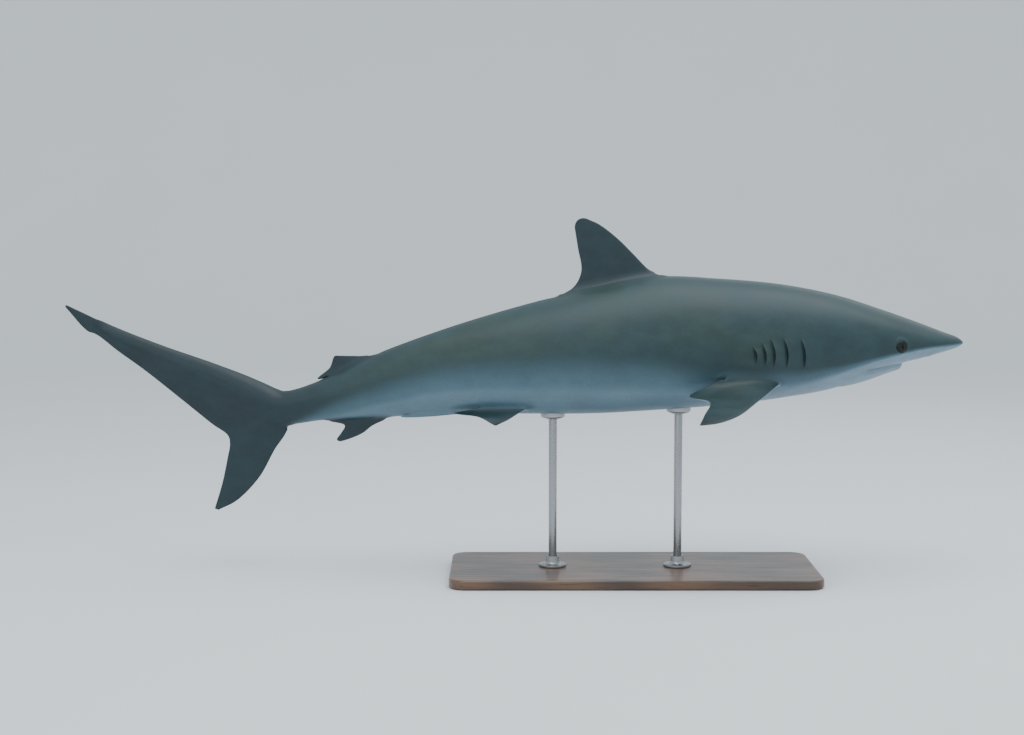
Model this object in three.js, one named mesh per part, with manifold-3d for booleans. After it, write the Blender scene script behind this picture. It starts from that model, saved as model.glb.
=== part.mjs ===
// A life-size silky shark, swimming with its snout a little higher than its tail, on a display stand.
// Millimetres. +X points to the snout, +Y to the shark's left, +Z up.
// The origin is the middle of the underside of the stand's base.

import * as THREE from 'three';
import { mergeVertices } from 'three/addons/utils/BufferGeometryUtils.js';
import Module from 'manifold-3d';

const wasm = await Module();
wasm.setup();

// ---- Driving dimensions ----

const TOTAL_LENGTH = 2200; // snout tip to the tip of the upper tail lobe
const PERCENT = TOTAL_LENGTH / 100; // fish measures below are in percent of the total length
const SNOUT_X = 36.5 * PERCENT; // snout tip ahead of the middle of the stand
const SNOUT_Z = 580; // snout tip above the floor
const GAP = 0.3; // clearance between pieces that touch
const SWAY = 36; // sideways sweep of the tail tip, to the left
const SWAY_START = 45; // percent behind the snout where that sweep begins

const BASE = { length: 900, width: 360, thickness: 24, cornerRadius: 40, edge: 4 };
const ROD_RADIUS = 10;
const RODS = { front: 31.5, rear: 45.5 }; // percent behind the snout
const FLANGE = { radius: 34, plate: 6, neckRadius: 17, height: 26, chamfer: 2, fillet: 4 };
// The cup's foot stands below the belly and its wall reaches up the belly's sides.
const CUP = { radius: 30, footRadius: 16, below: 10, above: 14, flare: 7, edge: 2 };

const EYE = { back: 7.65, rise: -0.25, radius: 16, depth: 10, seat: 4.8 };
// The mouth's arch: its front and corners, the rise of its front edge and how steeply it runs down.
const MOUTH = { front: 6.6, corner: 11.2, halfWidth: 3.45, rise: -1.9, slope: 0.13 };
const JAW_DEPTH = 4; // percent, deeper than the jaw stands below the mouth
const GILLS = [
  // percent behind the snout, top and bottom of each slit
  { back: 18.5, top: 0.5, bottom: -3.0 },
  { back: 20.1, top: 0.75, bottom: -2.6 },
  { back: 21.4, top: 0.7, bottom: -2.45 },
  { back: 22.65, top: 0.5, bottom: -2.15 },
  { back: 23.6, top: -0.2, bottom: -2.0 },
];
// Half the opening and the depth of a slit at its middle, both in millimetres, the share of each that
// is left at its ends, how far it bows forward and how much it leans.
const GILL = { halfOpening: 1.1, depth: 7, endOpening: 0.35, endDepth: 0.25, bow: 0.35, lean: 0.12 };

// Places where the body is parted, percent behind the snout.
const PARTINGS = { neck: 16, shoulder: 27.3, belly: 46.8, vent: 61.8, pit: 75.8 };

// Body landmarks: percent behind the snout, then rises of the back and the belly and the half width,
// the height of the widest level as a share of the depth, and the roundness of the upper and lower
// halves of the section (2 is an ellipse, less is sharper, more is fuller).
const LANDMARKS = [
  { at: 0, back: 0.45, belly: -0.45, half: 1.3, wide: 0.45, upper: 2.0, lower: 2.2 },
  { at: 2, back: 1.25, belly: -1.1, half: 2.35, wide: 0.42, upper: 2.0, lower: 2.5 },
  { at: 5, back: 2.4, belly: -1.95, half: 3.45, wide: 0.42, upper: 2.0, lower: 2.7 },
  { at: 9, back: 3.75, belly: -2.9, half: 4.35, wide: 0.46, upper: 2.1, lower: 2.8 },
  { at: 14, back: 5.3, belly: -5.1, half: 5.05, wide: 0.5, upper: 2.1, lower: 2.4 },
  { at: 20, back: 6.5, belly: -6.32, half: 5.5, wide: 0.48, upper: 2.0, lower: 2.2 },
  { at: 27, back: 7.15, belly: -7.22, half: 5.75, wide: 0.46, upper: 1.95, lower: 2.25 },
  { at: 34, back: 7.4, belly: -7.78, half: 5.8, wide: 0.45, upper: 1.9, lower: 2.3 },
  { at: 41, back: 6.1, belly: -8.16, half: 5.45, wide: 0.46, upper: 1.9, lower: 2.3 },
  { at: 49, back: 4.2, belly: -8.2, half: 4.55, wide: 0.48, upper: 1.9, lower: 2.3 },
  { at: 57, back: 1.85, belly: -8.15, half: 3.4, wide: 0.5, upper: 1.9, lower: 2.1 },
  { at: 65, back: -1.2, belly: -8.65, half: 2.35, wide: 0.52, upper: 1.9, lower: 2.0 },
  { at: 71, back: -3.65, belly: -8.92, half: 1.75, wide: 0.55, upper: 2.0, lower: 2.0 },
  { at: 75.8, back: -5.3, belly: -9.3, half: 1.4, wide: 0.58, upper: 2.0, lower: 2.0 },
  { at: 78.5, back: -4.75, belly: -8.2, half: 1.05, wide: 0.55, upper: 1.9, lower: 1.8 },
  { at: 84, back: -2.75, belly: -5.1, half: 0.62, wide: 0.5, upper: 1.7, lower: 1.7 },
  { at: 90, back: -0.65, belly: -2.2, half: 0.4, wide: 0.5, upper: 1.6, lower: 1.6 },
  { at: 96, back: 1.6, belly: 1.0, half: 0.2, wide: 0.5, upper: 1.6, lower: 1.6 },
];
const SNOUT_ROUND = { height: 1.1, width: 2.4 }; // length over which the snout tip closes
const MOUTH_RINGS = [6.6, 6.85, 7.2, 7.8]; // closely set rings where the lower lip stands out

// Chin and throat: how far the lower jaw stands below the line of the snout.
const CHIN = [
  { at: 6.4, drop: 0 },
  { at: 7.1, drop: 0.74 },
  { at: 8.5, drop: 0.92 },
  { at: 10.2, drop: 0.85 },
  { at: 12, drop: 0.5 },
  { at: 14, drop: 0 },
];
const CHIN_ARCH = { spread: 1.05, fullness: 0.7 }; // its width against the mouth's, and its roundness

// Fin outlines: [behind the snout, out from the midplane, rise], all in percent. The leading edge and
// the rear edge run from the base to the tip, point for point; the first pair is inside the body.
const FINS = {
  first_dorsal_fin: {
    lead: [[32.9, 0, 6.2], [33.6, 0, 7.42], [35.1, 0, 8.5], [36.6, 0, 9.9], [38.4, 0, 11.6], [40.6, 0, 13.2],
      [42.3, 0, 13.82]],
    rear: [[42.0, 0, 4.2], [42.5, 0, 5.75], [44.95, 0, 5.4], [43.3, 0, 6.3], [42.55, 0, 8.3], [43.1, 0, 11.1],
      [43.25, 0, 13.2]],
    facing: [0, 1, 0],
    root: 30,
    tip: 4,
    rings: 12,
  },
  second_dorsal_fin: {
    lead: [[64.0, 0, -2.2], [65.2, 0, -1.42], [67.2, 0, -1.47], [68.7, 0, -1.48], [69.6, 0, -1.52]],
    rear: [[68.1, 0, -4.0], [68.6, 0, -2.85], [71.6, 0, -3.74], [70.25, 0, -2.75], [70.05, 0, -1.75]],
    facing: [0, 1, 0],
    root: 15,
    tip: 2.4,
    rings: 8,
  },
  anal_fin: {
    lead: [[64.0, 0, -7.8], [64.4, 0, -8.7], [65.9, 0, -9.9], [67.6, 0, -10.95], [69.4, 0, -11.35]],
    rear: [[67.6, 0, -7.9], [67.9, 0, -8.75], [70.9, 0, -8.98], [69.25, 0, -9.95], [70.0, 0, -11.1]],
    facing: [0, 1, 0],
    root: 15,
    tip: 2.4,
    rings: 8,
  },
  pectoral_fin: {
    lead: [[20.4, 2.2, -3.4], [21.2, 4.4, -4.15], [23.8, 9.1, -5.85], [26.5, 13.1, -7.0], [28.8, 15.3, -7.45],
      [30.5, 16.2, -7.6]],
    rear: [[25.7, 2.6, -3.7], [25.9, 4.7, -4.25], [31.0, 6.1, -5.45], [29.0, 8.6, -5.75], [30.2, 12.8, -6.85],
      [30.85, 16.0, -7.55]],
    facing: [0.1, 0.25, 1],
    root: 26,
    tip: 3.4,
    rings: 12,
    paired: true,
  },
  pelvic_fin: {
    lead: [[48.2, 1.2, -6.5], [48.6, 2.4, -7.35], [50.0, 3.7, -8.05], [51.7, 5.1, -8.82]],
    rear: [[52.9, 1.0, -6.9], [53.2, 1.9, -7.6], [55.7, 2.6, -7.85], [52.5, 5.0, -8.87]],
    facing: [0.1, 0.55, 1],
    root: 15,
    tip: 2.4,
    rings: 8,
    paired: true,
  },
};

// The tail fin runs from the tip of the lower lobe, past the tail root, to the tip of the upper lobe.
const TAIL_FIN = {
  lead: [[83.1, 0, -18.95], [81.1, 0, -18.1], [78.4, 0, -15.3], [76.35, 0, -11.95], [74.9, 0, -9.3],
    [75.7, 0, -5.8], [78.1, 0, -4.5], [83.0, 0, -2.6], [89.0, 0, -0.55], [94.2, 0, 1.42], [97.8, 0, 3.15],
    [99.8, 0, 4.05]],
  rear: [[83.5, 0, -18.85], [82.75, 0, -16.0], [82.2, 0, -13.2], [81.95, 0, -11.6], [82.2, 0, -10.6],
    [83.8, 0, -9.4], [86.8, 0, -7.1], [91.1, 0, -3.75], [94.7, 0, -0.95], [96.7, 0, 0.7], [98.1, 0, 1.2],
    [100, 0, 3.95]],
  facing: [0, 1, 0],
  root: 17,
  tip: 3,
  rings: 24,
};

const LOBE_PARTING = [[75.2, 0, -9.3], [81.9, 0, -10.9]]; // tail root and fork
const TAIL_ROOT_SHARE = 4.5 / 11; // where the tail root lies along those edges
const SPINE = { from: 77.2, to: 96 }; // the spine's run in the upper lobe

const CLASPER = {
  start: [53.6, 0.8, -7.7],
  middle: [57.5, 0.95, -8.2],
  end: [62.1, 1.0, -8.35],
  radius: 8,
  flatness: 0.8,
};

const FIN_EDGE = 0.5; // half thickness of a fin at its edges
const FIN_SLIMNESS = 0.16; // most that a fin's half thickness may be of its chord
const BODY_SIDES = 24; // facets round the body
const TAIL_SIDES = 16; // facets round the spine in the tail fin
const FIN_CHORD_STEPS = 6; // facets from a fin's leading edge to its rear edge
const TURNED_SIDES = 18; // facets round the stand's turned pieces

// ---- Colours ----

const skinMaterial = (color) => new THREE.MeshStandardMaterial({ color, roughness: 0.45, metalness: 0.1 });
const BACK_GREY = 0x4c5a5c;
const FIN_GREY = 0x3c4a4d;
const FLANK_GREY = 0x6f8088;
const JAW_WHITE = 0xcfd8da;
const eyeMaterial = () => new THREE.MeshStandardMaterial({ color: 0x11140f, roughness: 0.08, metalness: 0 });
const steelMaterial = () => new THREE.MeshStandardMaterial({ color: 0xb9bcbf, roughness: 0.3, metalness: 1 });
const woodMaterial = () => new THREE.MeshStandardMaterial({ color: 0x4a3020, roughness: 0.5, metalness: 0 });

// ---- Smooth curves ----

// A smooth curve of one column of a table whose rows have a place `at`.
function smoothColumn(rows, column) {
  const last = rows.length - 1;
  const slopes = rows.map((row, i) => {
    const before = rows[Math.max(i - 1, 0)];
    const after = rows[Math.min(i + 1, last)];
    return (after[column] - before[column]) / (after.at - before.at);
  });
  return (at) => {
    const clamped = Math.min(Math.max(at, rows[0].at), rows[last].at);
    let i = 0;
    while (i < last - 1 && rows[i + 1].at < clamped) i += 1;
    const span = rows[i + 1].at - rows[i].at;
    const t = (clamped - rows[i].at) / span;
    const start = rows[i][column];
    const end = rows[i + 1][column];
    const rise = start + (end - start) * t * t * (3 - 2 * t);
    return rise + span * t * (1 - t) * (slopes[i] * (1 - t) - slopes[i + 1] * t);
  };
}

const bodyCurve = {};
for (const column of ['back', 'belly', 'half', 'wide', 'upper', 'lower']) {
  bodyCurve[column] = smoothColumn(LANDMARKS, column);
}
const chinDrop = smoothColumn(CHIN, 'drop');

// A place given in percent of the length becomes millimetres in the stand's frame.
function place([back, out, rise]) {
  return new THREE.Vector3(SNOUT_X - back * PERCENT, out * PERCENT, SNOUT_Z + rise * PERCENT);
}

// ---- Body ----

// How far the blunt snout tip has opened, 0 to 1.
function snoutOpening(at, length) {
  const t = Math.min(at / length, 1);
  return Math.sqrt(1 - (1 - t) * (1 - t));
}

// Half width of the mouth's arch seen from below.
function mouthHalfWidth(at) {
  const share = (at - MOUTH.front) / (MOUTH.corner - MOUTH.front);
  return MOUTH.halfWidth * Math.sqrt(Math.min(Math.max(share, 0), 1));
}

// A point of the skin: percent behind the snout, and an angle that runs from the back (0) over the
// left side to the belly (half a turn). `swell` is added outside, in millimetres.
function skinPoint(at, angle, swell = 0) {
  const open = snoutOpening(at, SNOUT_ROUND.height);
  const openWide = snoutOpening(at, SNOUT_ROUND.width);
  const back = bodyCurve.back(at);
  const belly = bodyCurve.belly(at);
  const level = belly + (back - belly) * bodyCurve.wide(at);
  const up = Math.cos(angle);
  const side = Math.sin(angle);
  const roundness = up > 0 ? bodyCurve.upper(at) : bodyCurve.lower(at);
  const grown = swell / PERCENT;
  const half = bodyCurve.half(at) * openWide + grown;
  const reach = (up > 0 ? back - level : level - belly) * open + grown;
  const out = half * Math.sign(side) * Math.abs(side) ** (2 / roundness);
  let rise = level + reach * Math.sign(up) * Math.abs(up) ** (2 / roundness);
  if (up < 0 && at > MOUTH.front) {
    const across = out / Math.max(mouthHalfWidth(at) * CHIN_ARCH.spread, 0.01);
    rise -= chinDrop(at) * Math.max(1 - across * across, 0) ** CHIN_ARCH.fullness;
  }
  return place([at, out, rise]);
}

// How far out the skin lies at a height below its widest level or above it.
function skinOut(at, rise) {
  const back = bodyCurve.back(at);
  const belly = bodyCurve.belly(at);
  const level = belly + (back - belly) * bodyCurve.wide(at);
  const reach = rise > level ? back - level : level - belly;
  const roundness = rise > level ? bodyCurve.upper(at) : bodyCurve.lower(at);
  const share = Math.min(Math.abs(rise - level) / reach, 1);
  return bodyCurve.half(at) * (1 - share ** roundness) ** (1 / roundness);
}

// Evenly stepped places from one end to the other.
function steps(from, to, count) {
  return Array.from({ length: count + 1 }, (_, i) => from + ((to - from) * i) / count);
}

// A closed skin over rings of points; a ring of one point is a pole.
function loft(rings) {
  const positions = [];
  const starts = [];
  for (const ring of rings) {
    starts.push(positions.length / 3);
    for (const p of ring) positions.push(p.x, p.y, p.z);
  }
  const index = [];
  for (let r = 0; r < rings.length - 1; r += 1) {
    const n = Math.max(rings[r].length, rings[r + 1].length);
    for (let i = 0; i < n; i += 1) {
      const next = (i + 1) % n;
      const a = starts[r] + (rings[r].length === 1 ? 0 : i);
      const b = starts[r] + (rings[r].length === 1 ? 0 : next);
      const c = starts[r + 1] + (rings[r + 1].length === 1 ? 0 : i);
      const d = starts[r + 1] + (rings[r + 1].length === 1 ? 0 : next);
      if (a !== b) index.push(a, b, c);
      if (c !== d) index.push(b, d, c);
    }
  }
  capRing(rings[0], starts[0], index, true);
  capRing(rings[rings.length - 1], starts[rings.length - 1], index, false);
  const geometry = new THREE.BufferGeometry();
  geometry.setAttribute('position', new THREE.Float32BufferAttribute(positions, 3));
  geometry.setIndex(index);
  return faceOutward(geometry);
}

// Flat end of a loft: a zigzag of triangles between the two halves of the ring.
function capRing(ring, start, index, first) {
  let low = 0;
  let high = ring.length - 1;
  let stepLow = true;
  while (high - low > 1) {
    const third = stepLow ? low + 1 : high - 1;
    const corners = first ? [low, high, third] : [low, third, high];
    for (const corner of corners) index.push(start + corner);
    if (stepLow) low = third;
    else high = third;
    stepLow = !stepLow;
  }
}

// Six times the volume inside a closed mesh, below zero if its faces point in.
function signedVolume(geometry) {
  const p = geometry.getAttribute('position');
  const index = geometry.getIndex();
  const [a, b, c] = [new THREE.Vector3(), new THREE.Vector3(), new THREE.Vector3()];
  let sum = 0;
  for (let i = 0; i < index.count; i += 3) {
    a.fromBufferAttribute(p, index.getX(i));
    b.fromBufferAttribute(p, index.getX(i + 1));
    c.fromBufferAttribute(p, index.getX(i + 2));
    sum += a.dot(b.cross(c));
  }
  return sum;
}

function faceOutward(geometry) {
  if (signedVolume(geometry) < 0) {
    const index = geometry.getIndex();
    for (let i = 0; i < index.count; i += 3) {
      const kept = index.getX(i);
      index.setX(i, index.getX(i + 1));
      index.setX(i + 1, kept);
    }
  }
  return geometry;
}

function bodyRing(at, swell, sides) {
  return Array.from({ length: sides }, (_, i) => skinPoint(at, (i / sides) * Math.PI * 2, swell));
}

function bodyLength(places, swell = 0, sides = BODY_SIDES) {
  const ring = (at) => (at === 0 ? [skinPoint(0, Math.PI / 2, swell)] : bodyRing(at, swell, sides));
  return loft(places.map(ring));
}

// ---- Joins and cuts ----

// The mesh with its shared corners merged, and nothing but their positions.
function merge(geometry) {
  const bare = geometry.clone();
  bare.deleteAttribute('normal');
  bare.deleteAttribute('uv');
  return mergeVertices(bare, 1e-4);
}

function toSolid(geometry) {
  const merged = merge(geometry);
  const mesh = new wasm.Mesh({
    numProp: 3,
    vertProperties: new Float32Array(merged.getAttribute('position').array),
    triVerts: new Uint32Array(merged.getIndex().array),
  });
  return new wasm.Manifold(mesh);
}

function toGeometry(solid) {
  const mesh = solid.getMesh();
  const geometry = new THREE.BufferGeometry();
  geometry.setAttribute('position', new THREE.Float32BufferAttribute(mesh.vertProperties, 3));
  geometry.setIndex(new THREE.Uint32BufferAttribute(mesh.triVerts, 1));
  return geometry;
}

// ---- Fins ----

// Half thickness of a fin along its chord, 0 at both edges and about 1 a third of the way back.
function foil(share) {
  return 1.55 * Math.sqrt(share) * (1 - share) * (1 + 0.35 * share);
}

// How a fin thins from its base (0) to its tip (1).
const taper = (v) => (1 - v) ** 1.2;

function finGeometry({ lead, rear, facing, root, tip, rings }, side = 1, thick = taper) {
  const mirror = ([back, out, rise]) => place([back, out * side, rise]);
  const leadCurve = new THREE.CatmullRomCurve3(lead.map(mirror), false, 'centripetal');
  const rearCurve = new THREE.CatmullRomCurve3(rear.map(mirror), false, 'centripetal');
  const normal = new THREE.Vector3(facing[0], facing[1] * side, facing[2]).normalize();
  const sections = steps(0, 1, rings).map((v) => {
    const front = leadCurve.getPoint(v);
    const end = rearCurve.getPoint(v);
    const half = (tip + (root - tip) * thick(v)) / 2;
    const across = steps(0, 1, FIN_CHORD_STEPS).map((t) => {
      const share = (1 - Math.cos(Math.PI * t)) / 2;
      const most = front.distanceTo(end) * FIN_SLIMNESS;
      const width = Math.min(half, most) * foil(share) + FIN_EDGE;
      return { middle: front.clone().lerp(end, share), width };
    });
    const top = across.map(({ middle, width }) => middle.clone().addScaledVector(normal, width));
    const under = across.map(({ middle, width }) => middle.clone().addScaledVector(normal, -width));
    return [...top, ...under.reverse()];
  });
  return loft(sections);
}

// ---- Tail fin ----

// The blade is thickest where it meets the tail root, part of the way up from the lower tip.
function tailThickness(v) {
  const spread = 0.42;
  return Math.max(1 - (Math.abs(v - TAIL_ROOT_SHARE) / spread) ** 1.2, 0);
}

function tailFin() {
  const pit = PARTINGS.pit + GAP / PERCENT;
  const blade = toSolid(finGeometry(TAIL_FIN, 1, tailThickness));
  const spine = toSolid(bodyLength([pit, ...steps(SPINE.from, SPINE.to, 9)], 0, TAIL_SIDES));
  const stalk = toSolid(bodyLength(steps(PARTINGS.vent, pit, 7), GAP));
  return blade.add(spine).subtract(stalk);
}

// A big block below (-1) or above (1) the line from the tail root to the fork between the lobes.
function lobeBlock(side) {
  const [root, fork] = LOBE_PARTING.map(place);
  const along = fork.clone().sub(root);
  const height = TOTAL_LENGTH / 2;
  const block = new THREE.BoxGeometry(TOTAL_LENGTH, TOTAL_LENGTH / 10, height);
  block.translate(0, 0, (side * (height + GAP)) / 2);
  block.rotateY(Math.atan2(along.z, -along.x));
  block.translate(root.x, 0, root.z);
  return toSolid(block);
}

// ---- Head ----

// The block that holds the lower jaw: an arch seen from below, under the tilted line of the mouth.
function jawBlock(swell) {
  const outline = new THREE.Shape();
  const left = steps(0, 1, 12).map((t) => {
    const behind = (MOUTH.corner - MOUTH.front) * t * t;
    const x = -behind * PERCENT + swell * (1 - 2 * t);
    return [x, mouthHalfWidth(MOUTH.front + behind) * PERCENT + swell];
  });
  outline.moveTo(left[0][0], 0);
  for (const [x, y] of left.slice(1)) outline.lineTo(x, y);
  for (const [x, y] of left.slice(1).reverse()) outline.lineTo(x, -y);
  const height = JAW_DEPTH * PERCENT;
  const block = new THREE.ExtrudeGeometry(outline, { depth: height, bevelEnabled: false });
  block.translate(0, 0, swell - height);
  block.rotateY(-Math.atan(MOUTH.slope));
  const lip = place([MOUTH.front, 0, MOUTH.rise]);
  block.translate(lip.x, lip.y, lip.z);
  return toSolid(block);
}

// The eye is a flattened ball set into the side of the head.
function eyeBall(side, swell) {
  const ball = new THREE.IcosahedronGeometry(1, 2);
  ball.scale(EYE.radius + swell, EYE.depth + swell, EYE.radius + swell);
  const outer = skinOut(EYE.back, EYE.rise);
  const ahead = skinOut(EYE.back - 1, EYE.rise);
  const behind = skinOut(EYE.back + 1, EYE.rise);
  ball.rotateZ(-Math.atan2(behind - ahead, 2));
  const centre = place([EYE.back, outer, EYE.rise]);
  ball.translate(centre.x, centre.y - EYE.seat, centre.z);
  if (side < 0) ball.scale(1, -1, 1);
  return faceOutward(merge(ball));
}

// A thin curved wedge that cuts one slit into the skin.
function slitCutter({ back, top, bottom }, side) {
  const { halfOpening, depth, endOpening, endDepth, bow, lean } = GILL;
  const rings = steps(0, 1, 4).map((t) => {
    const rise = bottom + (top - bottom) * t;
    const arc = Math.sin(Math.PI * t);
    const at = back - bow * arc + lean * (top - bottom) * (0.5 - t);
    const { x, z } = place([at, 0, rise]);
    const skin = skinOut(at, rise) * PERCENT;
    const half = halfOpening * (endOpening + (1 - endOpening) * arc);
    const inner = skin - depth * (endDepth + (1 - endDepth) * arc);
    const outer = skin + depth;
    const corners = [[x - half, inner], [x - half, outer], [x + half, outer], [x + half, inner]];
    return corners.map(([cx, cy]) => new THREE.Vector3(cx, cy * side, z));
  });
  return toSolid(loft(rings));
}

function gillRegion() {
  let solid = toSolid(bodyLength(steps(PARTINGS.neck + GAP / PERCENT, PARTINGS.shoulder, 7)));
  for (const side of [1, -1]) {
    for (const gill of GILLS) solid = solid.subtract(slitCutter(gill, side));
  }
  return solid;
}

function headAndJaw() {
  const noseRings = steps(0, Math.PI / 2, 5).map((turn) => SNOUT_ROUND.width * (1 - Math.cos(turn)));
  const snoutRings = steps(3.3, 6.2, 3);
  const cheekRings = steps(8.6, PARTINGS.neck, 7);
  let head = toSolid(bodyLength([...noseRings, ...snoutRings, ...MOUTH_RINGS, ...cheekRings]));
  const jaw = head.intersect(jawBlock(0));
  head = head.subtract(jawBlock(GAP));
  for (const side of [1, -1]) head = head.subtract(toSolid(eyeBall(side, GAP)));
  return { head, jaw };
}

// ---- Claspers ----

function clasper(side) {
  const point = ([back, out, rise]) => place([back, out * side, rise]);
  const path = new THREE.QuadraticBezierCurve3(point(CLASPER.start), point(CLASPER.middle), point(CLASPER.end));
  const sides = 10;
  const rings = steps(0, 1, 8).map((t) => {
    const centre = path.getPoint(t);
    const swelling = 0.8 + 0.35 * Math.sin(Math.PI * t);
    const bluntTip = Math.sqrt(Math.max(1 - t ** 5, 0.06));
    const radius = CLASPER.radius * swelling * bluntTip;
    return Array.from({ length: sides }, (_, i) => {
      const turn = (i / sides) * Math.PI * 2;
      const out = radius * CLASPER.flatness * Math.sin(turn);
      return new THREE.Vector3(centre.x, centre.y + out, centre.z + radius * Math.cos(turn));
    });
  });
  return toSolid(loft(rings));
}

// ---- Stand ----

function standBase() {
  const { length, width, thickness, cornerRadius, edge } = BASE;
  const x = length / 2 - edge;
  const y = width / 2 - edge;
  const r = cornerRadius - edge;
  const outline = new THREE.Shape();
  outline.absarc(x - r, y - r, r, 0, Math.PI / 2);
  outline.absarc(-x + r, y - r, r, Math.PI / 2, Math.PI);
  outline.absarc(-x + r, -y + r, r, Math.PI, Math.PI * 1.5);
  outline.absarc(x - r, -y + r, r, Math.PI * 1.5, Math.PI * 2);
  const slab = new THREE.ExtrudeGeometry(outline, {
    depth: thickness - 2 * edge,
    bevelThickness: edge,
    bevelSize: edge,
    bevelSegments: 1,
    curveSegments: 5,
  });
  slab.translate(0, 0, edge);
  return slab;
}

const rodX = (at) => SNOUT_X - at * PERCENT;
const bellyZ = (at) => SNOUT_Z + bodyCurve.belly(at) * PERCENT;

function standRod(at) {
  const bottom = BASE.thickness + GAP;
  const top = bellyZ(at) - CUP.below - GAP;
  const rod = new THREE.CylinderGeometry(ROD_RADIUS, ROD_RADIUS, top - bottom, TURNED_SIDES);
  rod.rotateX(Math.PI / 2);
  rod.translate(rodX(at), 0, (top + bottom) / 2);
  return rod;
}

// A piece turned about a rod's axis from a closed profile of radius and height.
function turned(at, bottom, profile) {
  const points = profile.map(([radius, height]) => new THREE.Vector2(radius, height));
  const piece = new THREE.LatheGeometry(points, TURNED_SIDES);
  piece.rotateX(Math.PI / 2);
  piece.translate(rodX(at), 0, bottom);
  return piece;
}

// A turned collar that stands on the base round the foot of a rod.
function standFlange(at) {
  const { radius, plate, neckRadius, height, chamfer, fillet } = FLANGE;
  const hole = ROD_RADIUS + GAP;
  return turned(at, BASE.thickness + GAP, [
    [hole, 0],
    [radius, 0],
    [radius, plate - chamfer],
    [radius - chamfer, plate],
    [neckRadius + fillet, plate + 1],
    [neckRadius, plate + 1 + fillet],
    [neckRadius, height - chamfer],
    [neckRadius - chamfer, height],
    [hole, height],
    [hole, 0],
  ]);
}

// A dished cup on top of a rod, cut to the curve of the belly.
function standCup(at, swollenBody) {
  const { radius, footRadius, below, above, flare, edge } = CUP;
  const cup = turned(at, bellyZ(at) - below, [
    [0, 0],
    [footRadius, 0],
    [footRadius + edge, flare - 2 * edge],
    [radius - edge, flare],
    [radius, flare + edge],
    [radius, below + above],
    [0, below + above],
  ]);
  return toSolid(cup).subtract(swollenBody);
}

// ---- Assembly ----

const group = new THREE.Group();

// The tail sweeps gently to the left: every point moves sideways by its distance behind the middle.
function swept(geometry) {
  const p = geometry.getAttribute('position');
  for (let i = 0; i < p.count; i += 1) {
    const at = (SNOUT_X - p.getX(i)) / PERCENT;
    const share = Math.max((at - SWAY_START) / (100 - SWAY_START), 0);
    p.setY(i, p.getY(i) + SWAY * share * share);
  }
  return geometry;
}

function addPiece(name, geometry, material) {
  geometry.computeVertexNormals();
  const mesh = new THREE.Mesh(geometry, material);
  mesh.name = name;
  group.add(mesh);
}

function addFlesh(name, solid, color) {
  addPiece(name, swept(toGeometry(solid)), skinMaterial(color));
}

function buildBody() {
  const { head, jaw } = headAndJaw();
  addFlesh('head', head, BACK_GREY);
  addFlesh('lower_jaw', jaw, JAW_WHITE);
  addFlesh('gill_region', gillRegion(), BACK_GREY);
  const lengths = {
    trunk: [PARTINGS.shoulder, PARTINGS.belly],
    abdomen: [PARTINGS.belly, PARTINGS.vent],
    tail_stalk: [PARTINGS.vent, PARTINGS.pit],
  };
  for (const [name, [from, to]] of Object.entries(lengths)) {
    addFlesh(name, toSolid(bodyLength(steps(from + GAP / PERCENT, to, 7))), FLANK_GREY);
  }
}

function buildFins(swollenBody) {
  for (const [name, fin] of Object.entries(FINS)) {
    if (fin.paired) {
      for (const [suffix, side] of [['left', 1], ['right', -1]]) {
        addFlesh(`${name}_${suffix}`, toSolid(finGeometry(fin, side)).subtract(swollenBody), FIN_GREY);
      }
    } else {
      addFlesh(name, toSolid(finGeometry(fin)).subtract(swollenBody), FIN_GREY);
    }
  }
  const tail = tailFin();
  addFlesh('tail_fin_upper_lobe', tail.intersect(lobeBlock(1)), FIN_GREY);
  addFlesh('tail_fin_lower_lobe', tail.intersect(lobeBlock(-1)), FIN_GREY);
}

function buildClaspers(swollenBody) {
  const { pelvic_fin: pelvicFin } = FINS;
  const thicker = (v) => taper(v) + (2 * GAP) / (pelvicFin.root - pelvicFin.tip);
  for (const [suffix, side] of [['left', 1], ['right', -1]]) {
    const pelvic = toSolid(finGeometry(pelvicFin, side, thicker));
    addFlesh(`clasper_${suffix}`, clasper(side).subtract(swollenBody).subtract(pelvic), FLANK_GREY);
  }
}

function buildEyes() {
  for (const [suffix, side] of [['left', 1], ['right', -1]]) {
    addPiece(`eye_${suffix}`, eyeBall(side, 0), eyeMaterial());
  }
}

function buildStand(swollenBody) {
  addPiece('stand_base', standBase(), woodMaterial());
  for (const [end, at] of Object.entries(RODS)) {
    addPiece(`stand_rod_${end}`, standRod(at), steelMaterial());
    addPiece(`stand_flange_${end}`, standFlange(at), steelMaterial());
    addPiece(`stand_cup_${end}`, toGeometry(standCup(at, swollenBody)), steelMaterial());
  }
}

// The whole body, swollen by the gap, is what the fins, claspers and cups are cut back from.
const noseRings = [0, 0.4, 1.2];
const bodyRings = steps(2.4, 76.5, 62);
const tailRings = steps(78, SPINE.to, 8);
const swollen = toSolid(bodyLength([...noseRings, ...bodyRings, ...tailRings], GAP));
buildBody();
buildFins(swollen);
buildClaspers(swollen);
buildEyes();
buildStand(swollen);

export default group;
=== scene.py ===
# Looks of a life-size silky shark on a display stand: one smooth skin, two eyes and the stand.
# The skin is lofted from named body landmarks, joined with its fins, faired where they meet, and cut
# for the mouth, the gill slits and the eyes. Shapes are made in millimetres and stored in metres.
import math

import bmesh
import bpy
import numpy as np
from mathutils import Matrix, Vector
from mathutils.bvhtree import BVHTree
from mathutils.kdtree import KDTree


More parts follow.
